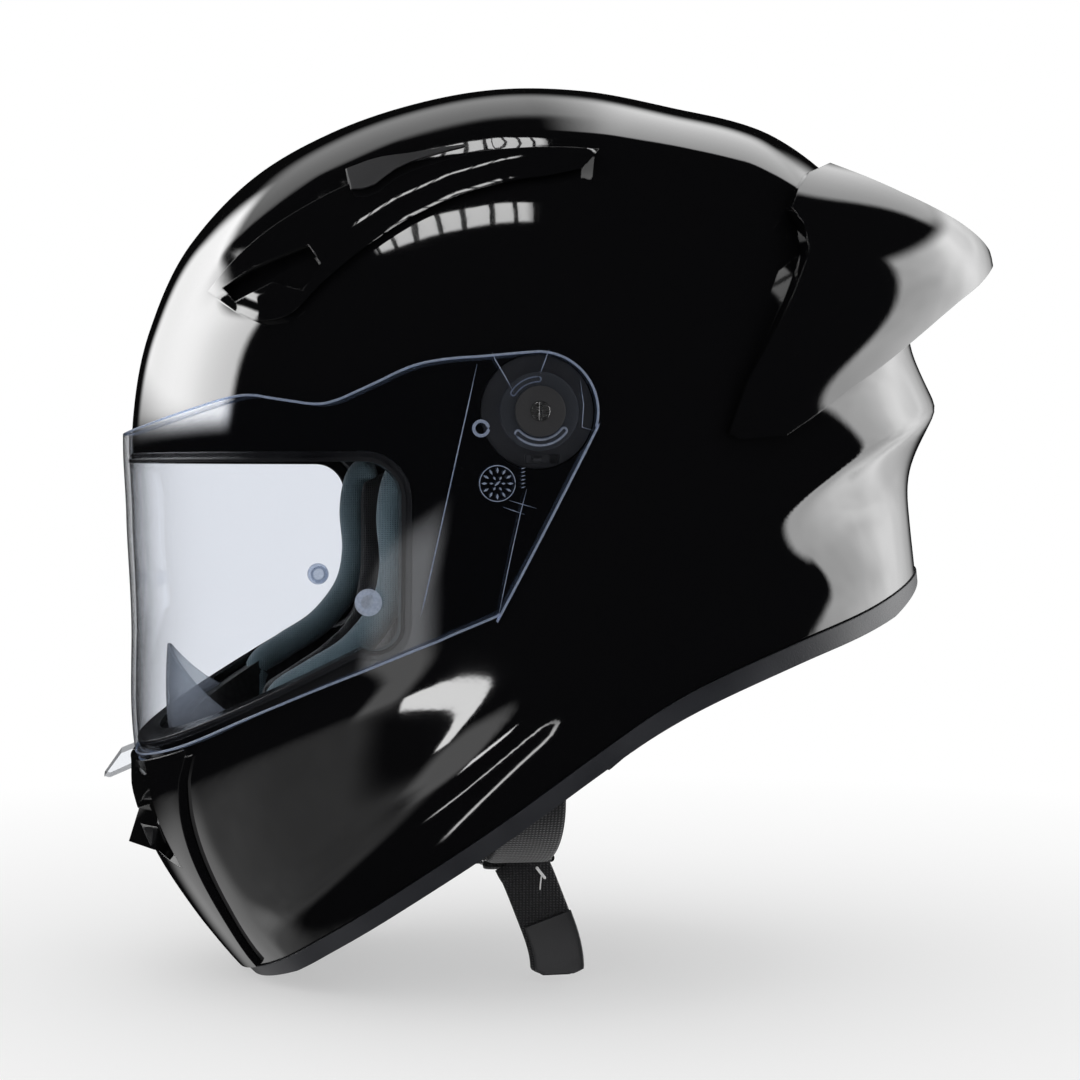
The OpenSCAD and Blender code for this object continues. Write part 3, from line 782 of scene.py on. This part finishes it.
trim = body("trim", 0.7, 1, shaped=True)
cut_body(trim, -12, 3)
keep(trim, closed(curve(RIM, 8) + [0, -0.35], curve(RIM, 8) + [0, -8.5]))
boolean(trim, under_stand(), "DIFFERENCE")
soften(trim, 30)
done(trim, "helmet", "trim_rubber", "trim", "base_trim")


def port_ring(name, off, depth, width):
    """Band round the eye port, from depth to off mm outside the shell."""
    ob = body(name, off, 1, shaped=True)
    cut_body(ob, depth, 3)
    keep(ob, port_outline(width, 30))
    return cut(ob, port_outline(0, 30))


gasket = port_ring("gasket", 0.5, -9, 3.4)
boolean(gasket, port_ring("lip", 1.6, -2, 1.3), "UNION")
soften(gasket, 35)
done(gasket, "helmet", "trim_rubber", "gasket", "eyeport_gasket")

# ---- visor ------------------------------------------------------------------------

TAB_SIDE = [
    [-141.5, -131], [-143.6, -130.6], [-137.4, -122], [-131, -119.6], [-124, -119.6], [-124, -123.5],
]
TAB_FRONT = [(7, -133), (21, -133), (24, -121), (24, -118), (4, -118), (4, -121)]

visor = body("visor_sheet", VISOR_OUT, 1)
cut_body(visor, VISOR_GAP, 1)
keep(visor, visor_outline())
tab = prism("tab", TAB_SIDE, 4, 24)
keep_front(tab, TAB_FRONT, -190, -100)
cut_body(tab, VISOR_GAP + 0.6, 1.5)
boolean(visor, tab, "UNION")
for s in (-1, 1):
    cut_round(visor, (s * 100, 0, 0), (s * 140, 0, 0), 13.05, 96)
    cut_round(visor, (s * 101, -56, -63), (s * 141, -56, -63), 2.55, 32)
soften(visor, 25)
# the faces across the sheet take the edge material: a painted highlight along the visor's cut edge, over
# its blue tint
rim_faces(visor)
done(visor, "visor_unit", "clear_visor", ["clear", "edge"], "visor")

# ---- chin ---------------------------------------------------------------------------


def hull(name, pts):
    """Closed convex solid round the points (mm)."""
    bm = bmesh.new()
    for q in pts:
        bm.verts.new(Vector(q) * MM)
    got = bmesh.ops.convex_hull(bm, input=bm.verts)
    extra = [g for g in got["geom_interior"] + got["geom_unused"] if isinstance(g, bmesh.types.BMVert)]
    bmesh.ops.delete(bm, geom=extra, context="VERTS")
    me = bpy.data.meshes.new(name)
    bm.to_mesh(me)
    bm.free()
    ob = add(name, me)
    outward(ob)
    return ob


def chin_lift(a, t):
    """The panel stands proud at the top and runs out into the shell at the bottom."""
    return 3.2 * smooth(a, 243, 226) * smooth(np.abs(t), 34, 16)


def both(pts):
    """The points and their mirror images."""
    return pts + [(-x, y, z) for x, y, z in pts if x]


def both_sides(half):
    """Front-view outline from its right half, which runs from the middle plane or beside it."""
    return half + [(-x, z) for x, z in half[::-1] if x]


PANEL = [(66, -108), (66, -119), (58, -140), (51, -161), (44, -182), (39, -195), (34, -215)]
HOLLOW = [(0, -145.3), (30, -138.5), (43, -133), (42, -161.5), (24, -158), (0, -158)]
BEAK = [
    (0, -131.2, -145.3), (0, -135, -157.6), (26, -122.5, -138), (22, -125.8, -157.8),
    (24, -112, -138), (20, -112, -160),
]
chin = plate("chin_panel_v", (206, 270), (-36, 36), 0.75, 2.6, 0.15, lift=chin_lift)
keep_front(chin, both_sides(PANEL), -190, -50)
recess = plate("recess", (206, 270), (-36, 36), 0.75, 20, 0.7)
keep_front(recess, both_sides(HOLLOW), -190, -50)
boolean(chin, recess, "DIFFERENCE")
beak = hull("beak", both(BEAK))
cut_body(beak, 0.3, 1.5, shaped=True)
boolean(chin, beak, "UNION")
cut(chin, closed(curve(VISOR_LOW, 6) + [0, 60], curve(VISOR_LOW, 6) + [0, -1.2]))
cut(chin, rim_outline(-1))
soften(chin, 22)
done(chin, "helmet", "shell_black", "gloss", "chin_panel")

door = plate("chin_door", (220, 236), (-12, 12), 0.5, 6.4, 0.6)
keep_front(door, rounded(18, -155, -151.8, 2), -170, -100)
for x in range(-15, 16, 5):
    cut_front(door, capsule((x, -154.8), (x, -152), 0.9, 8), -139, -130.6)
soften(door, 30)
done(door, "chin_vent", "satin_black", "satin", "chin_vent_slider")

# ---- spoiler and exhaust ---------------------------------------------------------------

SPOILER_TOP = [
    [66, -7], [72, 10], [80, 24], [89, 40], [97, 56], [97, 66], [94, 72], [99, 80], [106, 87],
    [118, 92.5], [142, 81], [166, 71.5], [183, 64], [191, 61],
]
SPOILER_LOW = [
    [70, -9], [88, -7.5], [97, -2], [106, 4], [114, 9.5], [122, 14.5], [130, 20], [137, 25],
    [144, 30], [151, 35], [160, 41], [172, 48], [183, 55.5], [191, 60.2],
]


def wing(a, t):
    """Extra radius of the spoiler, 34 mm at 20 degrees and none beyond 25 degrees from there."""
    d = np.abs(((a - 20 + 540) % 360) - 180) / 25.0
    return np.where(d < 1, 34 * np.cos(np.radians(90 * np.clip(d, 0, 1))) ** 2, 0.0)


spoiler = body("spoiler", 2.6, 1, lift=wing)
keep(spoiler, closed(SPOILER_TOP, SPOILER_LOW))
cut_body(spoiler, 0.1, 1.5, shaped=True)
under = body("under", 0.2, 2, lift=wing)
keep(under, [[117, 77], [173, 54], [150, 20], [117, 11]], -42, 42)
boolean(spoiler, under, "DIFFERENCE")
soften(spoiler, 26)
done(spoiler, "helmet", "shell_black", "gloss", "rear_spoiler")

grille = plate("grille", (8, 28), (-18, 18), 0.5, 1.9, 0.2)
keep_front(grille, rounded(34, 42, 54, 3), 100, 190)
for x in range(-28, 29, 8):
    cut_front(grille, capsule((x, 43), (x, 53), 2.4, 8), 100, 200)
soften(grille, 30)
done(grille, "helmet", "satin_black", "satin", "exhaust_grille")

# ---- top vents --------------------------------------------------------------------------

COVER_TOP = [
    [-107, 42], [-99, 52], [-88, 62], [-74, 71], [-58, 79], [-40, 85], [-20, 89], [0, 91],
    [16, 91.5], [26, 91],
]
COVER_LOW = [
    [-97, 34], [-90, 31], [-80, 33], [-70, 43], [-57, 54], [-41, 65], [-24, 73], [-6, 78.5],
    [8, 81], [20, 84],
]
SLIDER = [
    [-60, 84], [-56, 85.5], [-52, 87], [-48, 88], [-44, 88.5], [-39, 89], [-33, 90], [-27, 91],
    [-20, 92], [-20, 91.2], [-27, 89.4], [-33, 87.6], [-39, 85.5], [-44, 83], [-48, 80],
    [-51, 77.5], [-55, 76], [-59, 76],
]


def cover_rise(p):
    """The fairing grows thicker away from its lower edge, but the raised visor has to pass it."""
    d = side_distance(p[..., 1], p[..., 2], COVER_LOW)[0]
    return np.clip(2.2 - relief(p), 0, None) * smooth(d, 0.5, 7.5)


MOUTH = [[-102, 43], [-92, 49.5], [-74, 56.5], [-70, 50], [-76, 41], [-86, 44], [-98, 38]]
cover = plate("vent_cover_left", (70, 165), (20, 72), 0.5, 2.1, 0.1, detail=cover_rise)
keep(cover, closed(curve(COVER_TOP, 4), curve(COVER_LOW, 4)), 50, 130)
mouth = plate("mouth", (130, 165), (20, 72), 1, 8, 1.2)
keep(mouth, MOUTH, 50, 130)
boolean(cover, mouth, "DIFFERENCE")
soften(cover, 26)
done(cover, "helmet", "shell_black", "gloss", "top_vent_cover_left")
done(mirror(cover, "vent_cover_right"), "helmet", "shell_black", "gloss", "top_vent_cover_right")

slider = plate("vent_slider_left", (95, 130), (20, 60), 0.5, 6.2, 2.7, detail=lambda p: -relief(p))
keep(slider, SLIDER, 50, 130)
soften(slider, 26)
done(slider, "top_vent_left", "satin_black", "matte", "top_vent_slider_left")
done(mirror(slider, "vent_slider_right"), "top_vent_right", "satin_black", "matte", "top_vent_slider_right")

# ---- foam and comfort pads ---------------------------------------------------------------

EPS_OUT, EPS_IN, PAD_OUT = 4.6, 27.6, 28.2

eps = body("eps", -EPS_OUT, 2)
cut_body(eps, -EPS_IN, 2)
cut(eps, port_outline(4.2))
cut(eps, rim_outline(2))
cut(eps, [[-260, -300], [-47, -300], [-47, -84], [-260, -84]])
for s in (-1, 1):
    cut_round(eps, (s * 116, 0, 0), (s * 140, 0, 0), 25)
    # room for the swinging straps
    cut(eps, [[-12, -200], [20, -200], [20, -78], [-12, -78]], *sorted((s * 82, s * 150)))
soften(eps, 30)
done(eps, "helmet", "foam_black", "foam", "eps_liner")

chin_foam = body("chin_foam", -EPS_OUT, 2)
cut_body(chin_foam, -EPS_IN + 4, 2)
cut(chin_foam, port_outline(4.4))
cut(chin_foam, rim_outline(2))
cut_front(chin_foam, CHIN_SLOT, -160, -100)
keep(chin_foam, [[-260, -300], [-48, -300], [-48, -85], [-260, -85]])
soften(chin_foam, 30)
done(chin_foam, "helmet", "foam_black", "foam", "chin_liner")


CLOTH_FRAMES = 20


def puff(ob, cap=3.5, shrink=1.2):
    """Turns a firm shape into a stuffed one: it starts slightly small and swells under pressure."""
    m = ob.modifiers.new("remesh", "REMESH")
    m.mode = "VOXEL"
    m.voxel_size = 0.0045
    apply(ob)
    me = ob.data
    n = len(me.vertices)
    co = np.zeros(n * 3)
    me.vertices.foreach_get("co", co)
    nor = np.zeros(n * 3)
    me.vertex_normals.foreach_get("vector", nor)
    start = (co - nor * shrink * MM).reshape(-1, 3)
    end = co.reshape(-1, 3)
    me.vertices.foreach_set("co", start.ravel())
    me.update()
    m = ob.modifiers.new("cloth", "CLOTH")
    m.settings.quality = 5
    m.settings.use_pressure = True
    m.settings.uniform_pressure_force = 4.0
    m.settings.effector_weights.gravity = 0
    m.settings.mass = 0.3
    m.settings.tension_stiffness = 20
    m.settings.compression_stiffness = 20
    m.settings.bending_stiffness = 2
    m.settings.air_damping = 4
    m.collision_settings.use_self_collision = False
    m.point_cache.frame_start = 1
    m.point_cache.frame_end = CLOTH_FRAMES
    for fr in range(1, CLOTH_FRAMES + 1):
        bpy.context.scene.frame_set(fr)
    dg = bpy.context.evaluated_depsgraph_get()
    got = np.zeros(n * 3)
    ob.evaluated_get(dg).data.vertices.foreach_get("co", got)
    move = got.reshape(-1, 3) - start
    far = np.linalg.norm(move, axis=1, keepdims=True)
    end = start + move * np.minimum(1, cap * MM / np.maximum(far, 1e-9))
    ob.modifiers.clear()
    bpy.context.scene.frame_set(1)
    me.vertices.foreach_set("co", end.ravel())
    me.update()
    s = ob.modifiers.new("smooth", "SUBSURF")
    s.levels = s.render_levels = 1
    apply(ob)
    ob.data.shade_smooth()
    return ob


def points(ob):
    co = np.zeros(len(ob.data.vertices) * 3)
    ob.data.vertices.foreach_get("co", co)
    return co.reshape(-1, 3) / MM


def sink(ob, depth):
    """Presses seams into a soft piece: depth(points) in mm along the inward normal."""
    me = ob.data
    nor = np.zeros(len(me.vertices) * 3)
    me.vertex_normals.foreach_get("vector", nor)
    p = points(ob)
    q = p - nor.reshape(-1, 3) * depth(p)[:, None]
    me.vertices.foreach_set("co", (q * MM).ravel())
    me.update()


def seam(d, width=1.6, depth=1.6):
    return depth * np.exp(-((d / width) ** 2))


def seam_along(p, line, *size):
    """Seam over a side-view line."""
    return seam(side_distance(p[:, 1], p[:, 2], line)[0], *size)


def pad(name, outline, thick, x0=-REACH, x1=REACH):
    """Stuffed pad on the inside of the foam."""
    ob = body(name, -PAD_OUT, 3)
    cut_body(ob, -(PAD_OUT + thick), 3)
    keep(ob, outline, x0, x1)
    return puff(ob)


CROWN_EDGE = [
    [-104, 4], [-92, 6], [-70, 10], [-44, 16], [-16, 20], [14, 20], [44, 14], [72, 2], [98, -14],
    [126, -26],
]
crown_side = np.vstack([curve(CROWN_EDGE, 3), [[150, -26], [150, 140], [-140, 140], [-140, 4]]])
crown = pad("crown_pad_v", crown_side, 11)


def crown_seams(p):
    x = np.abs(p[:, 0])
    return seam(x - 28) + seam(x - 62) + seam(p[:, 1] - 20) * (x < 62)


sink(crown, crown_seams)
done(crown, "helmet", "pad_fabric", ["black_knit"], "crown_pad")

CHEEK_TOP = [
    [-84, -104], [-72, -97], [-58, -88], [-49, -76], [-45, -60], [-43, -24], [-38, -20],
    [-28, -17], [-16, -15], [-4, -15], [10, -17], [24, -22], [36, -30], [44, -42],
]
CHEEK_LOW = [
    [-84, -124], [-72, -138], [-58, -150], [-49, -152], [-45, -151], [-43, -150], [-38, -149],
    [-28, -145], [-16, -138], [-4, -129], [10, -120], [24, -111], [36, -102], [44, -97],
]
cheek = pad("cheek_left", closed(CHEEK_TOP, CHEEK_LOW), 20, 40, 130)
sink(cheek, lambda p: seam_along(p, [[-40, -105], [-10, -95], [30, -70]])
     + seam_along(p, [[-20, -15], [-14, -60], [-18, -100]]))
done(cheek, "helmet", "pad_fabric", ["black_knit"], "cheek_pad_left")
done(mirror(cheek, "cheek_right"), "helmet", "pad_fabric", ["black_knit"], "cheek_pad_right")

# piped front edge of the cheek pads
ROLL = [
    [80, -36, -17], [82, -42, -22], [82, -44.5, -35], [82.5, -43.5, -52], [82.5, -47, -67],
    [82, -58, -81], [80, -72, -90], [77, -82, -97], [75, -84.5, -106], [73, -82, -114],
]
roll = tube("cheek_roll_left", curve(ROLL, 8), 5.6, 20, (1.15, 0.95))
sink(roll, lambda p: seam_along(p, [[-90, -98.5], [-76, -101]], 0.8, 0.9))
done(roll, "helmet", "pad_fabric", ["teal"])
done(mirror(roll, "cheek_roll_right"), "helmet", "pad_fabric", ["teal"])

ROLL_TOP = [
    [51, -61], [57, -56], [66, -52], [78, -48], [90, -45], [104, -42], [120, -38], [136, -34],
    [150, -30],
]
ROLL_LOW = [
    [51, -101], [57, -98], [66, -93], [78, -89], [90, -85.5], [104, -80.5], [120, -75], [136, -69.5],
    [150, -65],
]
neck = pad("neck_roll_v", closed(ROLL_TOP, ROLL_LOW), 16)
sink(neck, lambda p: seam_along(p, [[51, -84], [90, -70], [150, -52]]) + seam(np.abs(p[:, 0]) - 40))
done(neck, "helmet", "pad_fabric", ["mesh"], "neck_roll")


def tab_shape(s):
    path = curve([[s * 69, 28, -112], [s * 69.5, 33, -117], [s * 69, 38, -123]], 6)
    return ribbon("tab", path, [[0, 0.75, 0.6]] * len(path), 15, 1.6, lambda u: 1 - 0.35 * u * u)


done(join("pull_tabs", [tab_shape(1), tab_shape(-1)]), "helmet", "pad_fabric", ["web"], "cheek_tabs")

# ---- breath guard --------------------------------------------------------------------------


def guard_top(x):
    """Height of the guard's upper edge across the helmet: a peak over the nose."""
    return -84 - np.minimum(0.00485 * x * x, 23)


guard = plate("guard", (209, 232), (-46, 46), 0.5, -13, -14.6)
gx = np.linspace(-84, 84, 85)
low_edge = np.column_stack([gx, np.full(len(gx), -140.0)])
keep_front(guard, closed(np.column_stack([gx, guard_top(gx)]), low_edge), -190, -60)
GUARD_LOW = [[-200, -152], [-140, -128], [-112, -115], [-88, -105], [-60, -96]]
cut(guard, closed(GUARD_LOW, [[-200, -240], [-60, -240]]))
soften(guard, 30)
done(guard, "helmet", "grey_plastic", ["guard"], "breath_guard")

# ---- straps ----------------------------------------------------------------------------------

for s, name in ((1, "left"), (-1, "right")):
    path = curve([[s * 91.6, 4, -85], [s * 91.6, 4, -110], [s * 91.6, 4, -133.4]], 10)
    ob = ribbon("webbing_" + name, path, [[0, 1, 0]] * len(path), 22, 2)
    cut_round(ob, (s * 80, 4, -134), (s * 100, 4, -134), 11.2)
    done(ob, "helmet", "webbing", "web", "strap_" + name)


def loop_point(b):
    """Points of the hanging loop, half an oval about the line on which it swings."""
    b = np.radians(b)
    return np.column_stack([91.6 * np.cos(b), np.full(np.shape(b), 4.0), -134 - 32 * np.sin(b)])


def fold(cx, cz, w, r, turns, start):
    """Strap wrapped round a slot shape of half-length w and radius r."""
    k = np.radians(np.linspace(start, start + turns, 40))
    x = cx + np.sign(np.cos(k)) * w * np.abs(np.cos(k)) ** 0.6 + r * np.cos(k)
    return np.column_stack([x, np.full(40, 4.0), cz + 1.6 * np.clip(np.sin(k), -1, 1) + r * np.sin(k)])


END = 12  # points of the round end, 7.5 degrees apart
rise = 10.9 * np.sin(np.radians(np.linspace(90, 7.5, END)))
top_end = np.column_stack([np.full(END, 91.6), np.full(END, 4.0), -134 + rise])


def round_end(u, m):
    """Half round top end of a loop strap with m points."""
    i = u * (m - 1)
    return math.cos(math.radians(90 - 7.5 * i)) + 0.02 if i < 11.5 else 1.0


def loop_strap(name, path, node):
    path = np.vstack(path)
    ob = ribbon(name, path, [[0, 1, 0]] * len(path), 22, 1.8, lambda u: round_end(u, len(path)))
    done(ob, "strap_loop", "webbing", "web", node)


bends = fold(40, -159.9, 0, 2.8, 300, 10), fold(29, -159.9, 3.2, 2.8, 320, 200)
loop_strap("strap_short", [top_end, loop_point(np.linspace(0, 54, 30)), bends[0]], "chin_strap_short")
loop_strap(
    "strap_long", [top_end * [-1, 1, 1], loop_point(np.linspace(180, 70, 60)), bends[1]], "chin_strap_long"
)

# free end: folded over the ring, it hangs leaning back and turned
TAIL = [
    [46.6, 5, -160.6], [47.6, 6, -162.5], [48, 8, -166], [48, 12, -176], [48, 16.5, -188],
    [47.5, 18.5, -196], [47, 19, -203],
]
tail = curve(TAIL, 8)
turn = np.linspace(0.05, 0.5, len(tail))
width = [[0.35 * math.sin(a), 1.0, 0.28] for a in turn]
ob = ribbon("strap_free", tail, width, 19, 2.0, lambda u: 1 - 0.45 * smooth(u, 0.9, 1.0) ** 2)
done(ob, "free_end", "webbing", "web", "strap_tail")
low = slice(len(tail) // 2 + 4, -1)
hem = ribbon("strap_hem", tail[low] + [1.4, 1.0, 0], width[low], 18, 1.6,
             lambda u: 1 - 0.4 * smooth(u, 0.85, 1.0) ** 2)
done(hem, "free_end", "webbing", "satin")
thread = join("stitch", [
    tube("s1", curve([[49.9, 11, -163], [50.1, 12.5, -165], [50.2, 14.5, -167.5]], 5), 0.55, 8),
    tube("s2", curve([[50.2, 13, -166], [50.2, 12.6, -169], [50.2, 12.4, -171.5]], 5), 0.28, 8),
])
done(thread, "free_end", "webbing", "white")

# ---- moulded marks on the visor's arm ---------------------------------------------------------


def on_visor(y, z, off, side=1):
    """Points of the visor's outer face above side-view points."""
    y, z = np.asarray(y, float), np.asarray(z, float)
    rho = np.hypot(y, z)
    r = shell_r(np.degrees(np.arctan2(z, y))) + off
    s = np.clip(1 - (rho / r) ** BULGE, 0, 1) ** (1 / BULGE)
    return np.column_stack([side * (HALF_W + off) * s, y, z])


def mark(line, r, side):
    line = np.asarray(line, float)
    return tube("mark", on_visor(line[:, 0], line[:, 1], VISOR_OUT - 0.1, side), r, 8)


def dash(c, d, a, b):
    """Short line from c along the unit vector d, from distance a to b."""
    return [[c[0] + q * d[0], c[1] + q * d[1]] for q in (a, (a + b) / 2, b)]


DIAL = (-14.0, -23.8)


def arm_marks(side):
    """Moulded rings, dots and lines on the arm of the visor, none of them lettering."""
    marks = [
        (capsule_arc(10.3, 1.9, 225, 322), 0.42),
        (capsule_arc(10.6, 1.7, 92, 146), 0.24),
        ([[-8.6, 6.0], [-11.5, 11.5], [-14.6, 16.8], [-15.6, 19.4]], 0.2),
        ([[0.2, 12.4], [1.6, 16], [3.2, 20.3]], 0.2),
        (arc((-19.4, -5.7), 2.4, 0, 360, 28), 0.55),
        (arc(DIAL, 5.9, 0, 360, 44), 0.16),
    ]
    for k in range(12):
        a = math.radians(30 * k)
        d = math.cos(a), math.sin(a)
        marks.append((dash(DIAL, d, 3.4, 5.2), 0.42))
        if k % 2 == 0:
            marks.append((dash(DIAL, d, 1.4, 2.6), 0.36))
    marks.append(([[-14.9, -24.6], [-14.0, -23.8], [-13.1, -23.0]], 0.4))
    for k in range(6):
        z = -19 - 1.25 * k
        marks.append(([[-6.2, z], [-5.5, z + 0.2], [-4.8, z + 0.4]], 0.2))
    marks += [
        ([[-4.3, -25.6], [-6.2, -33], [-8.6, -44], [-11.4, -58], [-13.4, -68.6]], 0.16),
        ([[-10, -29.4], [-6, -30.6], [-1, -32]], 0.13),
        ([[-12, -31.6], [-8.5, -32.8], [-5, -34]], 0.13),
        ([[-20.6, 15.5], [-23.6, 2], [-27.4, -15], [-32.4, -38], [-37.5, -62], [-38.8, -67.5]], 0.2),
        ([[13.6, 10.4], [14.7, 2.2], [14.2, -5.2], [18.0, -6.3]], 0.16),
    ]
    name = "arm_marks_left" if side > 0 else "arm_marks_right"
    return join(name, [mark(line, r, side) for line, r in marks])


def capsule_arc(r, w, a0, a1):
    """Outline of a curved slot about the pivot."""
    e1, e0 = np.radians(a1), np.radians(a0)
    return np.vstack([
        arc((0, 0), r + w / 2, a0, a1, 24),
        arc((r * math.cos(e1), r * math.sin(e1)), w / 2, a1, a1 + 180, 8),
        arc((0, 0), r - w / 2, a1, a0, 24),
        arc((r * math.cos(e0), r * math.sin(e0)), w / 2, a0 + 180, a0 + 360, 8),
    ])


def resample(p, gap):
    """The same 3-D line with evenly spaced points."""
    d = np.concatenate([[0], np.cumsum(np.linalg.norm(np.diff(p, axis=0), axis=1))])
    u = np.linspace(0, d[-1], max(int(d[-1] / gap), 4))
    return np.column_stack([np.interp(u, d, p[:, i]) for i in range(3)])


def edge_highlight_tube(name, off, r, inset):
    """Painted highlight: a thin bright tube that runs right round the visor just inside its edge."""
    o = visor_outline(-inset)
    o = curve(o[::2], 40)
    rho = np.hypot(o[:, 0], o[:, 1])
    inside = rho < shell_r(np.degrees(np.arctan2(o[:, 1], o[:, 0]))) + off
    half = on_visor(o[:, 0], o[:, 1], off)[inside]
    left = resample(half, 1.6)
    right = left[::-1] * [-1, 1, 1]
    return tube(name, np.vstack([left, right, left[:2]]), r, 8)


# The marks are real moulded ridges; drawn in the bright edge material, their shine is painted highlight.
for s in (1, -1):
    done(arm_marks(s), "visor_unit", "clear_visor", ["edge"])
# thin bright tube round the visor: painted highlight of its edge
done(edge_highlight_tube("visor_rim_highlight", VISOR_OUT - 0.35, 0.42, 0.3), "visor_unit", "clear_visor", ["edge"])

# ---- finishes on the precise hinge parts -----------------------------------------------------

FINISH = {
    "pivot_base_left": "satin", "pivot_base_right": "satin", "pivot_caps": "matte",
    "pivot_screws": "steel", "release_lever_left": "matte", "release_lever_right": "matte",
    "visor_hub_left": "hub", "visor_hub_right": "hub", "insert_pins": "pin",
    "strap_anchors": "steel", "d_rings": "steel",
}
for n, m in FINISH.items():
    give(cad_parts[n], m)

# ---- stage, light and camera -----------------------------------------------------------------

scene = bpy.context.scene

floor = new_object("floor", [(-6, -6, 0), (6, -6, 0), (6, 6, 0), (-6, 6, 0)], [(0, 1, 2, 3)])
floor.location.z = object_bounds()[0].z - 0.0005
floor.visible_glossy = False
k = Mat("floor_pale")
fn = k.noise(k.coords(), 3, 2)
far = k.node("ShaderNodeVectorMath", operation="LENGTH")
k.put(far.inputs[0], k.coords())
pale = k.node("ShaderNodeBsdfDiffuse")
k.put(pale.inputs["Color"], k.ramp(fn, [(0.3, (0.86, 0.86, 0.86)), (0.7, (0.9, 0.9, 0.9))]))
# it fades into the bright background
fade = k.range(far.outputs["Value"], 0.1, 0.6, 0.45, 1.0)
k.surface(k.mix(fade, pale, k.node("ShaderNodeEmission")))
floor.data.materials.append(k.m)

world = bpy.data.worlds.new("studio")
scene.world = world
world.use_nodes = True
w = Mat.__new__(Mat)
w.t = world.node_tree
w.t.nodes.clear()
w.out = w.t.nodes.new("ShaderNodeOutputWorld")
tc = w.node("ShaderNodeTexCoord")
sep = w.node("ShaderNodeSeparateXYZ")
w.put(sep.inputs[0], tc.outputs["Generated"])
dx, dy, dz = sep.outputs


def step(v, a, b):
    out = w.range(v, a, b, 0, 1)
    out.node.interpolation_type = "SMOOTHSTEP"
    return out


def times(*v):
    out = v[0]
    for q in v[1:]:
        out = w.math("MULTIPLY", out, q)
    return out


def plus(*v):
    out = v[0]
    for q in v[1:]:
        out = w.math("ADD", out, q)
    return out


def window(strength, *edges):
    """Part of the studio that shines: each edge is (direction, from, to), eased between the two."""
    parts = []
    for (ex, ey, ez), lo_, hi_ in edges:
        v = plus(times(dx, ex), times(dy, ey), times(dz, ez))
        parts.append(step(v, lo_, hi_))
    return times(*parts, strength)


X, Y, Z = (1, 0, 0), (0, 1, 0), (0, 0, 1)
fall_rear = plus(0.01, step(dx, -1.0, -0.2))
fall_front = times(step(dx, -1.0, -0.92), plus(0.25, times(step(dx, -1.0, -0.35), 0.75)))
bars = w.math("GREATER_THAN", w.math("FRACT", times(plus(dy, 1.0), 13.0)), 0.22)
uneven = plus(0.5, w.noise(tc.outputs["Generated"], 2.2, 2))
glossy = plus(
    # big soft panel behind the helmet's back
    times(
        window(3.1, (Y, 0.42, 0.6), ((1, 0, 0.15), 0.33, 0.26), (Z, 0.6, 0.48), (Z, -0.5, -0.36)),
        fall_rear, uneven,
    ),
    # the same in front of the forehead
    times(window(5.6, (Y, -0.28, -0.42), (X, 0.05, -0.03), (Z, 0.0, 0.14), (Z, 0.58, 0.5)), fall_front),
    # soft light from above and behind
    window(1.5, (Z, 0.48, 0.62), (X, -0.27, -0.35), (Y, 0.12, 0.3), (Y, 0.8, 0.66)),
    window(0.5, (Z, 0.45, 0.6), (X, -0.45, -0.6), (Y, 0.3, 0.1), (Z, 0.86, 0.78)),
    # narrow barred window over the vents
    times(
        window(
            5.5, (Z, 0.79, 0.82), ((1, -0.15, 0), 0.24, 0.26), ((1, -0.15, 0), 0.43, 0.4),
            (Y, -0.48, -0.44), (Y, 0.1, 0.04),
        ),
        bars,
    ),
    # low cards on the camera's side
    window(8.0, (Z, -0.475, -0.465), (Z, -0.40, -0.412), (Y, -0.17, -0.15), (Y, 0.07, 0.05), (X, 0.7, 0.8)),
    window(0.9, (Z, -0.5, -0.35), (Z, -0.04, -0.16), (Y, -0.12, -0.24), (Y, -0.52, -0.4), (X, 0.6, 0.75)),
    window(
        5.0, (Z, -0.7, -0.76), ((1, 0.05, 0), 0.385, 0.395), ((1, 0.05, 0), 0.425, 0.415),
        (Y, 0.15, 0.25), (Y, 0.62, 0.5),
    ),
    # dull floor in front of the chin
    times(window(0.27, (Z, -0.3, -0.5), (Y, -0.2, -0.45)), uneven),
    window(0.32, (Z, -0.3, -0.5), (X, -0.35, -0.5)),
    0.003,
)
path = w.node("ShaderNodeLightPath")
soft = w.node("ShaderNodeBackground", Color=WHITE, Strength=0.9)
seen = w.node("ShaderNodeBackground", Color=WHITE)
mirrored = w.node("ShaderNodeBackground", Color=glossy)
light = w.mix(path.outputs["Is Glossy Ray"], soft, mirrored)
w.surface(w.mix(path.outputs["Is Camera Ray"], light, seen))

cam_data = bpy.data.cameras.new("camera")
cam_data.lens = 83.33
cam_data.sensor_width = 36
cam = add("camera", cam_data)
eye, aim = Vector((0.94231, -0.12887, -0.02084)), Vector((0.00433, 0.01969, -0.04571))
cam.location = eye
cam.rotation_euler = (aim - eye).to_track_quat("-Z", "Y").to_euler()
cam_data.clip_start, cam_data.clip_end = 0.05, 50
scene.camera = cam
scene.view_settings.view_transform = "Standard"
